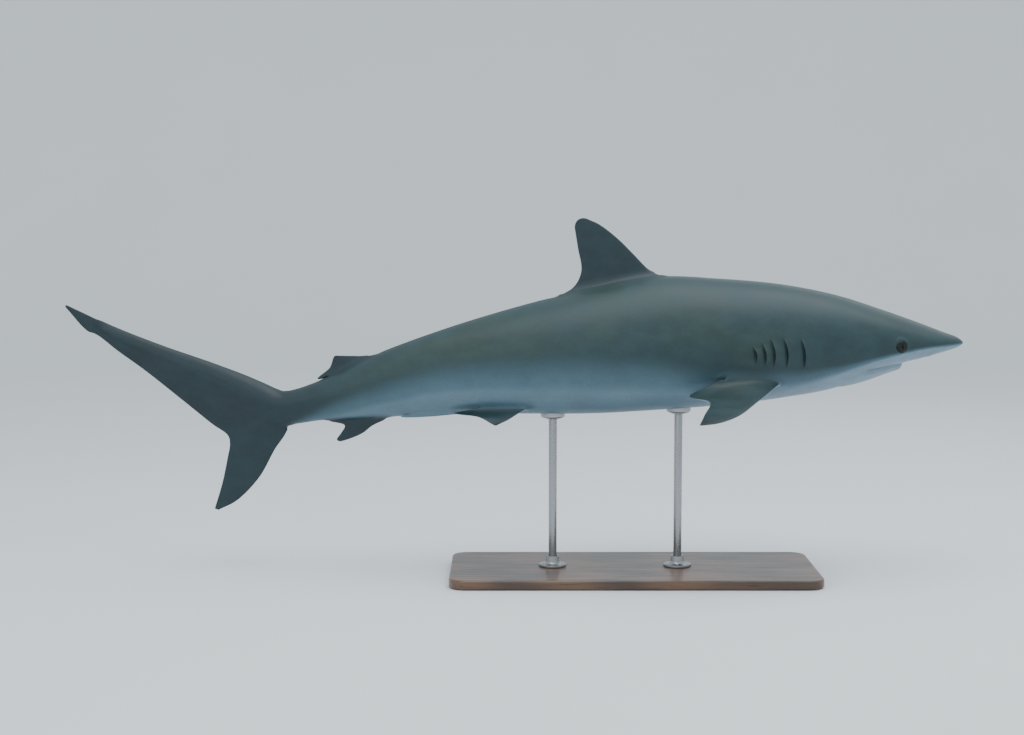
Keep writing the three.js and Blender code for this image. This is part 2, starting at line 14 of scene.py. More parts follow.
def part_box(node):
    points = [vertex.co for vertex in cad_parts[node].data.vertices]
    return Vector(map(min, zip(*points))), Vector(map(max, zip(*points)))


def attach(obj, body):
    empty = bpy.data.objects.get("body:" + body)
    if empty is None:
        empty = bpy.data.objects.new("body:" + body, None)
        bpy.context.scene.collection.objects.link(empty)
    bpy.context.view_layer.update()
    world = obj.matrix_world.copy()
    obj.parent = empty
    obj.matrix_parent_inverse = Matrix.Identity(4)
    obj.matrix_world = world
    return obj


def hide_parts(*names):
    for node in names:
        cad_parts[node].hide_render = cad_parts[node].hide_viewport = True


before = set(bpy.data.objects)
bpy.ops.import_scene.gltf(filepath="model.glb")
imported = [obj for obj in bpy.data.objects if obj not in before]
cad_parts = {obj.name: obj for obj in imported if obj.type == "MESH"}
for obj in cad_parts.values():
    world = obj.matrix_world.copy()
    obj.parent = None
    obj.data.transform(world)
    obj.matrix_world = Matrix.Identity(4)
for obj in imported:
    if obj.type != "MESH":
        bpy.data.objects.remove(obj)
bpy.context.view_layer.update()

# ---- Measures: fish measures are in percent of the total length ----

MM = 0.001
TOTAL_LENGTH = 2200.0
PERCENT = TOTAL_LENGTH / 100
SNOUT_X = 36.5 * PERCENT
SNOUT_Z = 580.0
SWAY = 36.0
SWAY_START = 45.0

RODS = {"front": 31.5, "rear": 45.5}
ROD_RADIUS = 10.0
ROD_IN_CUP = 2.0
ON_AXIS = 0.01
FLANGE = {"radius": 34.0, "plate": 6.0, "neck": 17.0, "height": 26.0, "cove": 7, "play": 0.3}
SCREWS = {"count": 3, "circle": 28.6, "first": 90, "sunk": 0.2}
SCREW_OUTLINE = [(ON_AXIS, 0), (3.6, 0), (3.2, 1.0), (0.9, 1.35), (0.7, 0.5), (ON_AXIS, 0.5)]
CUP = {"radius": 30.0, "foot": 16.0, "below": 10.0, "above": 14.0, "bowl_from": 2, "bowl": 7}
BOARD = {"corner": 40.0, "ease": 5, "top": 12}
SHADOW_LINE = [(4, 0), (3.6, 1.2), (3.6, 4.2), (0.8, 4.4), (0, 5.4)]  # inset and height of the lower edge

EYE = {"back": 7.65, "rise": -0.25, "radius": 16.0, "depth": 10.0, "seat": 4.8, "opening": 13.6}
MOUTH = {"front": 6.6, "corner": 11.2, "half_width": 3.45}
NOSTRIL = {"back": 4.2, "out": 2.45, "length": 15.0, "width": 3.6}
GILLS = [(18.6, 0.65, -2.5), (20.5, 0.75, -2.3), (21.9, 0.65, -2.2), (22.85, 0.15, -2.15),
         (23.85, -0.2, -1.95)]
GILL_BOW = 0.27
GILL_LEAN = -0.12
GILL_REGION = (15.5, 25.7)
# Relief across a slit: millimetres behind its front edge, and height.
FLAP_PLACES = (-70, -30, -14, -6, -2, 0, 0.6, 1.4, 3.0, 4.6, 9, 18, 30)
FLAP_HEIGHTS = (0, 1.0, 2.6, 3.8, 4.3, 3.9, -1.5, -4.0, -4.3, -3.0, -1.8, -0.7, 0)
FLAP_FADE = 0.8  # power of the fade towards the ends of a slit

# Soft swellings of the side: the middle (behind the snout, rise) and the half length and half height in
# percent, and the height in millimetres.
SWELLINGS = {
    "gill_chambers": (19.5, -1.2, 3.2, 2.4, 3.0),
    "jaw_muscle": (12.2, -1.0, 1.9, 1.5, 2.2),
}
# Rings round the eye and round the nostril, and bands behind and ahead of the line of the mouth: the
# height, the distance of the middle and the width, in millimetres. The dimple at the corner of the mouth:
# the depth and the width.
EYE_RINGS = {"rim": (1.4, 16.0, 3.0), "brow": (1.1, 20, 6), "trough": (-0.7, 25, 5), "lid": (1.1, 14.6, 2.2)}
NOSTRIL_RING = (0.9, 9, 3.5)
LIP_BANDS = {"behind": (1.3, 9, 6), "ahead": (1.0, -7, 4.5), "crease": (-2.0, 0, 2.8)}
MOUTH_DIMPLE = (1.8, 6)
# Ridge of the back and groove of the lateral line: where each starts and ends in percent, and the height
# and the width in millimetres.
BACK_RIDGE = ((44.5, 47), (64, 66), 1.6, 5)
LATERAL_GROOVE = ((24.5, 27), (70, 74), -0.45, 1.8)
# Pits across the tail root and a groove in front of the vent: behind the snout in percent, the half
# length, half width and height in millimetres, and whether it is on the upper half.
PITS = [
    (75.7, 6, 13, -2.6, True),
    (75.3, 5, 10, -0.8, False),
    (53.5, 35.2, 6, -1.4, False),
]
# How far out from the midplane, in millimetres, the relief of the side begins.
FLANK_FROM = 30
ORBIT_FROM = 20
LATERAL_FROM = 10

# Percent behind the snout, rise of the back and the belly, half width, height of the widest level as a
# share of the depth, and the roundness of the upper and lower halves of the section.
LANDMARKS = np.array([
    (0, 0.34, -0.45, 2.4, 0.45, 2.0, 2.2),
    (2, 1.02, -1.0, 2.75, 0.42, 2.0, 2.5),
    (5, 2.15, -1.8, 3.45, 0.42, 2.0, 2.7),
    (9, 3.56, -2.78, 4.35, 0.46, 2.1, 2.8),
    (14, 5.15, -5.0, 5.05, 0.5, 2.1, 2.4),
    (20, 6.35, -6.2, 5.5, 0.48, 2.0, 2.2),
    (27, 7.0, -7.05, 5.75, 0.46, 1.95, 2.25),
    (34, 7.23, -7.57, 5.8, 0.45, 1.9, 2.3),
    (41, 5.95, -7.96, 5.45, 0.46, 1.9, 2.3),
    (49, 3.95, -8.0, 4.55, 0.48, 1.9, 2.3),
    (57, 1.53, -7.97, 3.4, 0.5, 1.9, 2.1),
    (65, -1.4, -8.52, 2.35, 0.52, 1.9, 2.0),
    (71, -4.18, -8.8, 1.75, 0.55, 2.0, 2.0),
    (75.8, -5.64, -9.3, 1.4, 0.58, 2.0, 2.0),
    (78.5, -4.75, -8.2, 1.05, 0.55, 1.9, 1.8),
    (84, -2.75, -5.1, 0.62, 0.5, 1.7, 1.7),
    (90, -0.65, -2.2, 0.4, 0.5, 1.6, 1.6),
    (96, 1.6, 1.0, 0.2, 0.5, 1.6, 1.6),
])
CHIN = np.array([(6.4, 0), (7.1, 0.74), (8.5, 0.92), (10.2, 0.85), (12, 0.5), (14, 0)])
CHIN_SPREAD = 1.05
LATERAL_LINE = np.array([(24, 1.9), (34, 1.2), (45, -0.3), (57, -2.6), (66, -4.7), (75, -7.0)])
CHIN_FULLNESS = 0.7
SNOUT_ROUND_HEIGHT = 1.1
SNOUT_ROUND_WIDTH = 5.0

# Fin outlines (behind the snout, out from the midplane, rise) from the base to the tip: the leading
# edge and the rear edge, point for point. `root`, `tip` and `fillet` are in millimetres. For the colours,
# `reach` is how far out a paired fin goes, and `painted_shade_level` how far down the painted shade round
# its root shows on the body.
FINS = {
    "first_dorsal": {
        "lead": [(32.7, 0, 6.0), (33.65, 0, 7.12), (35.1, 0, 8.15), (36.6, 0, 9.68), (38.4, 0, 11.45),
                 (40.4, 0, 12.98), (41.7, 0, 13.58)],
        "rear": [(42.4, 0, 3.9), (43.6, 0, 4.95), (44.5, 0, 4.88), (43.3, 0, 5.9), (42.4, 0, 7.8),
                 (42.78, 0, 10.4), (43.12, 0, 12.45)],
        "facing": (0, 1, 0), "root": 30, "tip": 4, "rings": 64, "fillet": 24,
    },
    "second_dorsal": {
        "lead": [(64.4, 0, -2.4), (65.7, 0, -1.7), (67.2, 0, -1.62), (68.7, 0, -1.6), (69.5, 0, -1.58)],
        "rear": [(68.1, 0, -4.2), (69.5, 0, -3.85), (71.75, 0, -4.2), (70.35, 0, -2.9), (70.0, 0, -1.95)],
        "facing": (0, 1, 0), "root": 15, "tip": 2.4, "rings": 36, "fillet": 16,
    },
    "anal": {
        "lead": [(63.7, 0, -7.8), (64.2, 0, -8.6), (65.75, 0, -9.5), (66.7, 0, -10.25), (68.0, 0, -10.85),
                 (69.1, 0, -11.2)],
        "rear": [(67.4, 0, -7.9), (67.8, 0, -8.45), (70.6, 0, -8.75), (68.75, 0, -9.42), (69.05, 0, -10.1),
                 (69.6, 0, -10.85)],
        "facing": (0, 1, 0), "root": 15, "tip": 2.4, "rings": 40, "fillet": 16,
    },
    "pectoral": {
        "lead": [(20.0, 2.2, -3.6), (20.9, 4.4, -4.2), (23.9, 9.1, -5.7), (26.5, 13.1, -6.78),
                 (28.8, 15.3, -7.22), (30.4, 16.15, -7.3)],
        "rear": [(25.9, 2.8, -2.7), (26.2, 4.9, -3.3), (30.9, 6.1, -5.4), (29.0, 8.7, -5.72),
                 (29.95, 12.8, -6.68), (30.75, 15.95, -7.28)],
        "facing": (0.1, 0.25, 1), "root": 26, "tip": 3.4, "rings": 72, "paired": True,
        "fillet": 24, "reach": 16.2, "painted_shade_level": -0.35,
    },
    "pelvic": {
        "lead": [(47.8, 1.4, -6.2), (48.2, 2.6, -6.9), (49.5, 3.6, -7.7), (50.5, 4.3, -8.24),
                 (51.45, 4.85, -8.62)],
        "rear": [(53.0, 1.2, -6.3), (53.3, 2.2, -7.0), (56.4, 2.2, -7.75), (53.7, 3.75, -8.0),
                 (52.1, 4.75, -8.72)],
        "facing": (0.1, 0.55, 1), "root": 15, "tip": 2.4, "rings": 40, "paired": True,
        "fillet": 15, "reach": 5.1, "painted_shade_level": -0.6,
    },
}
TAIL_FIN = {
    "lead": [(83.05, 0, -19.05), (80.95, 0, -17.95), (78.4, 0, -15.3), (76.65, 0, -12.2), (75.2, 0, -9.75),
             (75.9, 0, -5.95), (78.1, 0, -4.62), (83.0, 0, -2.72), (89.0, 0, -0.68), (94.2, 0, 1.33),
             (97.8, 0, 3.02), (99.8, 0, 3.95)],
    "rear": [(83.5, 0, -18.9), (82.6, 0, -16.0), (81.98, 0, -13.2), (81.68, 0, -11.5), (81.9, 0, -10.6),
             (83.6, 0, -9.35), (86.7, 0, -6.85), (91.0, 0, -3.42), (94.4, 0, -0.95), (96.35, 0, 0.68),
             (97.5, 0, 1.05), (99.95, 0, 3.7)],
    "facing": (0, 1, 0), "root": 17, "tip": 3, "rings": 190, "fillet": 26,
}
TAIL_ROOT_SHARE = 4.5 / 11
FIN_EDGE = 0.5
FIN_SLIMNESS = 0.16
CLASPER = {"start": (53.6, 0.8, -7.4), "middle": (57.5, 0.95, -7.68), "end": (62.4, 1.0, -8.3),
           "radius": 8.0, "fillet": 7}


def smooth_column(rows, column):
    """A smooth curve of one column of a table whose first column is the place."""
    at, value = rows[:, 0], rows[:, column]
    before = np.maximum(np.arange(len(at)) - 1, 0)
    after = np.minimum(np.arange(len(at)) + 1, len(at) - 1)
    slope = (value[after] - value[before]) / (at[after] - at[before])

    def curve(place):
        place = np.clip(place, at[0], at[-1])
        i = np.clip(np.searchsorted(at, place) - 1, 0, len(at) - 2)
        span = at[i + 1] - at[i]
        t = (place - at[i]) / span
        rise = value[i] + (value[i + 1] - value[i]) * t * t * (3 - 2 * t)
        return rise + span * t * (1 - t) * (slope[i] * (1 - t) - slope[i + 1] * t)

    return curve


back_at, belly_at, half_at, wide_at, upper_at, lower_at = [smooth_column(LANDMARKS, c) for c in range(1, 7)]
chin_drop = smooth_column(CHIN.astype(float), 1)
lateral_at = smooth_column(LATERAL_LINE, 1)


def place(points):
    """Percent measures (..., back, out, rise) to millimetres in the stand's frame."""
    p = np.asarray(points, float)
    return np.stack([SNOUT_X - p[..., 0] * PERCENT, p[..., 1] * PERCENT, SNOUT_Z + p[..., 2] * PERCENT], -1)


def smooth_step(low, high, value):
    t = np.clip((value - low) / (high - low), 0, 1)
    return t * t * (3 - 2 * t)


def bump(value, width):
    """A smooth bell of height 1 and this half width."""
    return np.exp(-((value / width) ** 2))


# ---- Body ----


def mouth_half_width(at):
    share = (at - MOUTH["front"]) / (MOUTH["corner"] - MOUTH["front"])
    return MOUTH["half_width"] * np.sqrt(np.clip(share, 0, 1))


def section(at):
    """Level of the widest line and the reach above and below it, at a place behind the snout."""
    back, belly = back_at(at), belly_at(at)
    level = belly + (back - belly) * wide_at(at)
    return level, back - level, level - belly


def skin_point(at, angle):
    """The bare skin. The angle runs from the back (0) over the left side to the belly (half a turn)."""
    at, angle = np.broadcast_arrays(np.asarray(at, float), np.asarray(angle, float))
    opened = np.sqrt(1 - (1 - np.minimum(at / SNOUT_ROUND_HEIGHT, 1)) ** 2)
    opened_wide = np.sqrt(1 - (1 - np.minimum(at / SNOUT_ROUND_WIDTH, 1)) ** 2)
    level, above, below = section(at)
    up, side = np.cos(angle), np.sin(angle)
    roundness = np.where(up > 0, upper_at(at), lower_at(at))
    out = half_at(at) * opened_wide * np.sign(side) * np.abs(side) ** (2 / roundness)
    reach = np.where(up > 0, above, below) * opened
    rise = level + reach * np.sign(up) * np.abs(up) ** (2 / roundness)
    across = out / np.maximum(mouth_half_width(at) * CHIN_SPREAD, 0.01)
    drop = chin_drop(at) * np.maximum(1 - across**2, 0) ** CHIN_FULLNESS
    rise = rise - np.where((up < 0) & (at > MOUTH["front"]), drop, 0)
    return place(np.stack([at, out, rise], -1))


def under_rise(at, out):
    """Height of the bare underside at a distance out from the midplane, in percent."""
    level, _, below = section(at)
    n = lower_at(at)
    share = np.minimum(np.abs(out) / half_at(at), 1)
    return level - below * (1 - share**n) ** (1 / n)


def skin_out(at, rise):
    """How far out the bare skin lies at a height, in percent."""
    level, above, below = section(at)
    roundness = np.where(rise > level, upper_at(at), lower_at(at))
    share = np.clip(np.abs(rise - level) / np.where(rise > level, above, below), 0, 1)
    return half_at(at) * (1 - share**roundness) ** (1 / roundness)


def gill_line(gill, rise):
    """Place behind the snout of a gill slit at a height, and its share of opening there."""
    back, top, bottom = gill
    t = np.clip((rise - bottom) / (top - bottom), 0, 1)
    arc = np.sin(math.pi * t)
    return back - GILL_BOW * arc + GILL_LEAN * (top - bottom) * (0.5 - t), arc


def along_gills(places, angle):
    """Moves the rings near the gills so that one ring runs along each slit."""
    knots = [GILL_REGION[0]] + [gill[0] for gill in GILLS] + [GILL_REGION[1]]
    shifts = [np.zeros(len(angle))]
    for gill in GILLS:
        rise = (skin_point(gill[0], angle)[:, 2] - SNOUT_Z) / PERCENT
        shifts.append(gill_line(gill, rise)[0] - gill[0])
    shifts = np.array(shifts + [np.zeros(len(angle))])
    return places[:, None] + np.stack([np.interp(places, knots, column) for column in shifts.T], 1)


def mouth_gap(at, out):
    """Distance behind the line of the mouth, in millimetres, and how much the mouth shapes the skin there."""
    half = MOUTH["half_width"] * CHIN_SPREAD
    length = MOUTH["corner"] - MOUTH["front"]
    behind = at - MOUTH["front"] - length * (out / half) ** 2
    steep = 2 * length * out / half**2
    return behind / np.sqrt(1 + steep**2) * PERCENT, 1 - smooth_step(0.85, 1.12, out / half)


def long_form(at, off, form):
    """Height of a ridge or groove at a place and at a distance off its middle."""
    start, end, lift, width = form
    return lift * (smooth_step(*start, at) * (1 - smooth_step(*end, at))) * bump(off, width)


def body_relief(ring, at, angle, p):
    """Height of the fine relief on the bare skin, in millimetres. ring is the place before along_gills."""
    out = np.abs(p[..., 1])
    rise = (p[..., 2] - SNOUT_Z) / PERCENT
    height = np.zeros(at.shape)
    # gill flaps: each swells towards its slit, drops into a cleft and recovers behind it
    for gill in GILLS:
        _, arc = gill_line(gill, rise)
        profile = np.interp((ring - gill[0]) * PERCENT, FLAP_PLACES, FLAP_HEIGHTS)
        height += profile * arc**FLAP_FADE * smooth_step(0.3, 0.7, out / (half_at(at) * PERCENT))
    for back, level, length, tall, swell in SWELLINGS.values():
        height += swell * bump(at - back, length) * bump(rise - level, tall) * (out > FLANK_FROM)
    # orbit: a rim, a brow above the eye, a trough round it and the nictitating lid as a low fold below it
    along = (at - EYE["back"]) * PERCENT
    above = (rise - EYE["rise"]) * PERCENT
    around = np.hypot(along, above)
    share = {"rim": 1, "brow": np.clip(above / 20, 0, 1), "trough": 1, "lid": smooth_step(3, 11, -above)}
    for name, (lift, radius, width) in EYE_RINGS.items():
        height += (out > ORBIT_FROM) * lift * bump(around - radius, width) * share[name]
    # lips: a crease along the mouth between two soft swellings, and a dimple at the corner
    lower = np.cos(angle) < 0
    gap, nearness = mouth_gap(at, out / PERCENT)
    bands = [lift * bump(gap - middle, width) for lift, middle, width in LIP_BANDS.values()]
    height += lower * nearness * sum(bands)
    corner = np.hypot(at - MOUTH["corner"] - 0.15, out / PERCENT - MOUTH["half_width"] * CHIN_SPREAD - 0.1)
    depth, width = MOUTH_DIMPLE
    height -= lower * depth * bump(corner * PERCENT, width)
    nostril = np.hypot((at - NOSTRIL["back"]) * PERCENT, out - NOSTRIL["out"] * PERCENT)
    lift, radius, width = NOSTRIL_RING
    height += lower * lift * bump(nostril - radius, width)
    upper = np.cos(angle) > 0
    height += long_form(at, out, BACK_RIDGE) * upper
    height += long_form(at, (rise - lateral_at(at)) * PERCENT, LATERAL_GROOVE) * (out > LATERAL_FROM)
    for back, length, width, lift, on_top in PITS:
        height += lift * bump((at - back) * PERCENT, length) * bump(out, width) * (upper == on_top)
    return height


def spread(places, ends_and_steps):
    """Adds places up to each end, no farther apart than its step."""
    for end, step in ends_and_steps:
        count = max(math.ceil((end - places[-1]) / step), 1)
        places += list(np.linspace(places[-1], end, count + 1)[1:])
    return places


def ring_places():
    """Places of the rings of the head, closest at the mouth and the slits, and of the rings behind it."""
    nose = 2.4 * (1 - np.cos(np.linspace(0, math.pi / 2, 20)))
    places = spread(list(nose), [(6.3, 0.11), (9.2, 0.06), (11.8, 0.08), (17.8, 0.13)])
    for gill in GILLS:
        places = spread(places, [(gill[0] - 0.3, 0.12), (gill[0] - 0.06, 0.06)])
        places += [gill[0] + step for step in (-0.025, 0, 0.02, 0.05, 0.09, 0.13, 0.17, 0.22, 0.3)]
    head = spread(places, [(25.8, 0.12), (27.3, 0.16)])
    return np.array(head), np.array(spread([27.3], [(76, 0.295), (96, 0.42)])[1:])


HEAD_SIDES = 224
TAIL_SIDES = 112


def quads_between(first, rings, sides):
    """Faces between neighbouring rings whose points are numbered from first."""
    faces = []
    for r in range(rings - 1):
        a = first + r * sides
        for j in range(sides):
            k = (j + 1) % sides
            faces.append((a + j, a + sides + j, a + sides + k, a + k))
    return faces


def grid_normals(p):
    around = np.roll(p, -1, 1) - np.roll(p, 1, 1)
    along = np.gradient(p, axis=0)
    normal = np.cross(along, around)
    normal /= np.maximum(np.linalg.norm(normal, axis=-1, keepdims=True), 1e-9)
    outward = p - p.mean(1, keepdims=True)
    flip = np.sign((normal * outward).sum(-1).mean())
    return normal * flip


def body_mesh():
    """Closed grid over the whole body: fine rings on the head and gills, wider ones behind."""
    head, rear = ring_places()
    parts = []
    for places, sides in ((head[1:], HEAD_SIDES), (np.concatenate([head[-1:], rear]), TAIL_SIDES)):
        angle = np.linspace(0, 2 * math.pi, sides, endpoint=False)
        at, turn = np.meshgrid(places, angle, indexing="ij")
        ring = at
        if sides == HEAD_SIDES:
            at = along_gills(places, angle)
        bare = skin_point(at, turn)
        parts.append(bare + grid_normals(bare) * body_relief(ring, at, turn, bare)[..., None])
    fine, coarse = parts[0], parts[1][1:]
    vertices = [place([(0, 0, 0)]), fine.reshape(-1, 3), coarse.reshape(-1, 3)]
    faces = []
    first = 1
    for j in range(HEAD_SIDES):
        faces.append((0, first + j, first + (j + 1) % HEAD_SIDES))
    faces += quads_between(first, len(fine), HEAD_SIDES)
    last_fine = first + (len(fine) - 1) * HEAD_SIDES
    first_coarse = first + len(fine) * HEAD_SIDES
    for j in range(TAIL_SIDES):
        k = (j + 1) % TAIL_SIDES
        f = [last_fine + (2 * j + n) % HEAD_SIDES for n in range(3)]
        faces.append((f[0], first_coarse + j, f[1]))
        faces.append((f[1], first_coarse + j, first_coarse + k, f[2]))
    faces += quads_between(first_coarse, len(coarse), TAIL_SIDES)
    end = first_coarse + (len(coarse) - 1) * TAIL_SIDES
    tip = sum(len(v) for v in vertices)
    vertices.append(coarse[-1].mean(0)[None])
    for j in range(TAIL_SIDES):
        faces.append((end + j, tip, end + (j + 1) % TAIL_SIDES))
    return np.concatenate(vertices), [face[::-1] for face in faces]


# ---- Fins ----


def centripetal(points, count):
    """Points of a centripetal Catmull-Rom curve at even steps of its control points."""
    p = np.asarray(points, float)
    padded = np.concatenate([[2 * p[0] - p[1]], p, [2 * p[-1] - p[-2]]])
    place_on = np.linspace(0, len(p) - 1, count)
    i = np.minimum(place_on.astype(int), len(p) - 2)
    t = (place_on - i)[:, None]
    x0, x1, x2, x3 = (padded[i + k] for k in range(4))
    d0, d1, d2 = (np.sqrt(np.linalg.norm(b - a, axis=1, keepdims=True))
                  for a, b in ((x0, x1), (x1, x2), (x2, x3)))
    t1 = ((x1 - x0) / d0 - (x2 - x0) / (d0 + d1) + (x2 - x1) / d1) * d1
    t2 = ((x2 - x1) / d1 - (x3 - x1) / (d1 + d2) + (x3 - x2) / d2) * d1
    return ((2 * t**3 - 3 * t**2 + 1) * x1 + (t**3 - 2 * t**2 + t) * t1
            + (3 * t**2 - 2 * t**3) * x2 + (t**3 - t**2) * t2)


def foil(share):
    """Thickness of a fin's section at a share of its chord, about 1 where it is thickest."""
    return 1.55 * np.sqrt(share) * (1 - share) * (1 + 0.35 * share)


def taper(v):
    return (1 - v) ** 1.2


def tail_thickness(v):
    return np.maximum(1 - (np.abs(v - TAIL_ROOT_SHARE) / 0.42) ** 1.2, 0)


CHORD_STEPS = 22
TIP_RINGS = 9
TIP_REACH = 0.5


def rounded_tip(lead, rear):
    """Adds rings past the last chord, whose ends run along one curve from the leading to the rear edge."""
    width = np.linalg.norm(rear[-1] - lead[-1])
    ahead = [edge[-1] + (edge[-1] - edge[-3]) / np.linalg.norm(edge[-1] - edge[-3]) * TIP_REACH * width
             for edge in (lead, rear)]
    t = 0.5 * np.sin(np.linspace(0, math.pi / 2, TIP_RINGS + 1)[1:, None] * 0.97)

    def curve(t):
        return ((1 - t) ** 3 * lead[-1] + 3 * t * (1 - t) ** 2 * ahead[0]
                + 3 * t * t * (1 - t) * ahead[1] + t**3 * rear[-1])

    return np.concatenate([lead, curve(t)]), np.concatenate([rear, curve(1 - t)])


def fin_mesh(fin, side=1, thick=taper, count=None):
    """Closed fin: rings of a thin foil from the base to the tip."""
    count = count or fin["rings"]
    mirror = np.array([1, side, 1])
    lead = centripetal(place(np.array(fin["lead"]) * mirror), count)
    rear = centripetal(place(np.array(fin["rear"]) * mirror), count)
    normal = np.array(fin["facing"], float) * mirror
    normal /= np.linalg.norm(normal)
    v = np.concatenate([np.linspace(0, 1, count), np.ones(TIP_RINGS)])
    lead, rear = rounded_tip(lead, rear)
    half = (fin["tip"] + (fin["root"] - fin["tip"]) * thick(v)) / 2
    chord = np.linalg.norm(lead - rear, axis=1)
    share = (1 - np.cos(np.linspace(0, math.pi, CHORD_STEPS + 1))) / 2
    width = np.minimum(half, chord * FIN_SLIMNESS)[:, None] * foil(share)
    from_edge = np.minimum(share, 1 - share) * chord[:, None]
    width = width + FIN_EDGE * np.sqrt(np.clip(from_edge / 1.2, 0, 1))
    middle = lead[:, None] + (rear - lead)[:, None] * share[:, None]
    top = middle + normal * width[..., None]
    under = middle - normal * width[..., None]
    rings = np.concatenate([top, under[:, -2:0:-1]], 1)
    return ring_solid(rings)


def ring_solid(rings):
    """Vertices and faces of a closed loft, its ends closed by a middle point."""
    count, sides = rings.shape[:2]
    vertices = np.concatenate([rings.reshape(-1, 3), rings[0].mean(0)[None], rings[-1].mean(0)[None]])
    faces = quads_between(0, count, sides)
    base, tip = count * sides, count * sides + 1
    for j in range(sides):
        k = (j + 1) % sides
        faces.append((base, j, k))
        faces.append((tip, (count - 1) * sides + k, (count - 1) * sides + j))
    return vertices, faces


def clasper_mesh(side):
    start, middle, end = (place(np.array(CLASPER[k]) * (1, side, 1)) for k in ("start", "middle", "end"))
    t = np.linspace(0, 1, 26)[:, None]
    centre = (1 - t) ** 2 * start + 2 * t * (1 - t) * middle + t**2 * end
    blunt = np.sqrt(np.maximum(1 - t**5, 0.02))
    radius = CLASPER["radius"] * (0.8 + 0.35 * np.sin(math.pi * t)) * blunt
    turn = np.linspace(0, 2 * math.pi, 20, endpoint=False)
    # a groove runs along the inner upper side
    groove = 1 - 0.28 * bump(np.angle(np.exp(1j * (turn + side * 0.9))), 0.35) * np.sin(math.pi * t)
    rings = centre[:, None] + radius[..., None] * groove[..., None] * np.stack(
        [0 * turn, 0.8 * np.sin(turn), np.cos(turn)], -1)
    return ring_solid(rings)


# ---- Mesh helpers ----

TOUCHING = 0.3  # a point this near a surface takes that surface's own way out


def outward(vertices, faces):
    """The faces of a closed shape, turned so that they look out of it."""
    corners = np.array([(f[0], f[k], f[k + 1]) for f in faces for k in range(1, len(f) - 1)])
    a, b, c = (np.asarray(vertices)[corners[:, k]] for k in range(3))
    volume = (a * np.cross(b, c)).sum()
    return faces if volume > 0 else [f[::-1] for f in faces]


def put_in_scene(name, data):
    made = bpy.data.objects.new(name, data)
    bpy.context.scene.collection.objects.link(made)
    return made


def new_object(name, vertices, faces, scale=1.0):
    mesh = bpy.data.meshes.new(name)
    mesh.from_pydata((np.asarray(vertices) * scale).tolist(), [], outward(vertices, faces))
    mesh.update()
    return put_in_scene(name, mesh)


def merged(shapes):
    """Several closed shapes that don't touch, as one."""
    vertices, faces, first = [], [], 0
    for v, f in shapes:
        vertices.append(v)
        faces += [tuple(i + first for i in face) for face in outward(v, f)]
        first += len(v)
    return np.concatenate(vertices), faces


def boolean(base, other, operation):
    """base is joined with or cut by other, which is then deleted."""
    modifier = base.modifiers.new("join", "BOOLEAN")
    modifier.operation = operation
    modifier.solver = "MANIFOLD"
    modifier.object = other
    bpy.context.view_layer.update()
    evaluated = base.evaluated_get(bpy.context.evaluated_depsgraph_get())
    mesh = bpy.data.meshes.new_from_object(evaluated)
    base.modifiers.clear()
    old = base.data
    base.data = mesh
    bpy.data.meshes.remove(old)
    bpy.data.objects.remove(other)


def read_all(items, key, width, kind=float):
    """One property of all vertices or edges, a row for each."""
    values = np.empty(len(items) * width, kind)
    items.foreach_get(key, values)
    return values.reshape(-1, width)


def coordinates(mesh):
    return read_all(mesh.vertices, "co", 3)


def edge_ends(mesh):
    return read_all(mesh.edges, "vertices", 2, int)


def vertex_normals(mesh):
    return read_all(mesh.vertices, "normal", 3)


def store_values(mesh, columns):
    """Keeps one number per vertex under each name, for the materials."""
    for name, values in columns.items():
        mesh.attributes.new(name, "FLOAT", "POINT").data.foreach_set("value", values.astype(np.float32))


def tree_of(vertices, faces):
    return BVHTree.FromPolygons([Vector(v) for v in vertices], faces, all_triangles=False)


def nearest(tree, points, reach):
    """For each point: distance to a closed surface, or reach; the way out of the surface to it; and
    whether it lies under the surface or out of reach.
    """
    gap = np.full(len(points), float(reach))
    away = np.zeros((len(points), 3))
    under = np.ones(len(points), bool)
    for i, p in enumerate(points):
        where, normal, _, distance = tree.find_nearest(Vector(p), reach)
        if where is None:
            continue
        gap[i] = distance
        away[i] = normal if distance < TOUCHING else (p - np.array(where)) / distance
        under[i] = (Vector(p) - where).dot(normal) < 0
    return gap, away, under


def distance_to(tree, points, reach):
    return nearest(tree, points, reach)[0]


def near_box(points, vertices, margin):
    low, high = vertices.min(0) - margin, vertices.max(0) + margin
    return np.nonzero(((points > low) & (points < high)).all(1))[0]


# ---- Joining the fins and fairing the joins ----


ON_SURFACE = 0.03  # a point this near a surface lies on it
SEAM_STEP = 1.5
RELAX_STEP = 0.6


def seam_of(co, edges, body, piece):
    """Points along the seam where a piece has been joined to the body."""
    near = near_box(co, piece[0], 4)
    on_body = distance_to(body, co[near], 1.0) < ON_SURFACE
    on_piece = distance_to(tree_of(*piece), co[near], 1.0) < ON_SURFACE
    flags = np.zeros(len(co), bool)
    flags[near[on_body & on_piece]] = True
    seam = edges[flags[edges].all(1)]
    start, end = co[seam[:, 0]], co[seam[:, 1]]
    steps = int(np.ceil(np.linalg.norm(end - start, axis=1).max() / SEAM_STEP)) + 1
    t = np.linspace(0, 1, steps)[:, None, None]
    return (start + (end - start) * t).reshape(-1, 3)


def distance_to_points(points, targets, reach):
    """Distance of each point to the nearest target, or reach where it is farther."""
    tree = KDTree(len(targets))
    for i, p in enumerate(targets):
        tree.insert(p, i)
    tree.balance()
    return np.array([min(tree.find(p)[2], reach) for p in points])


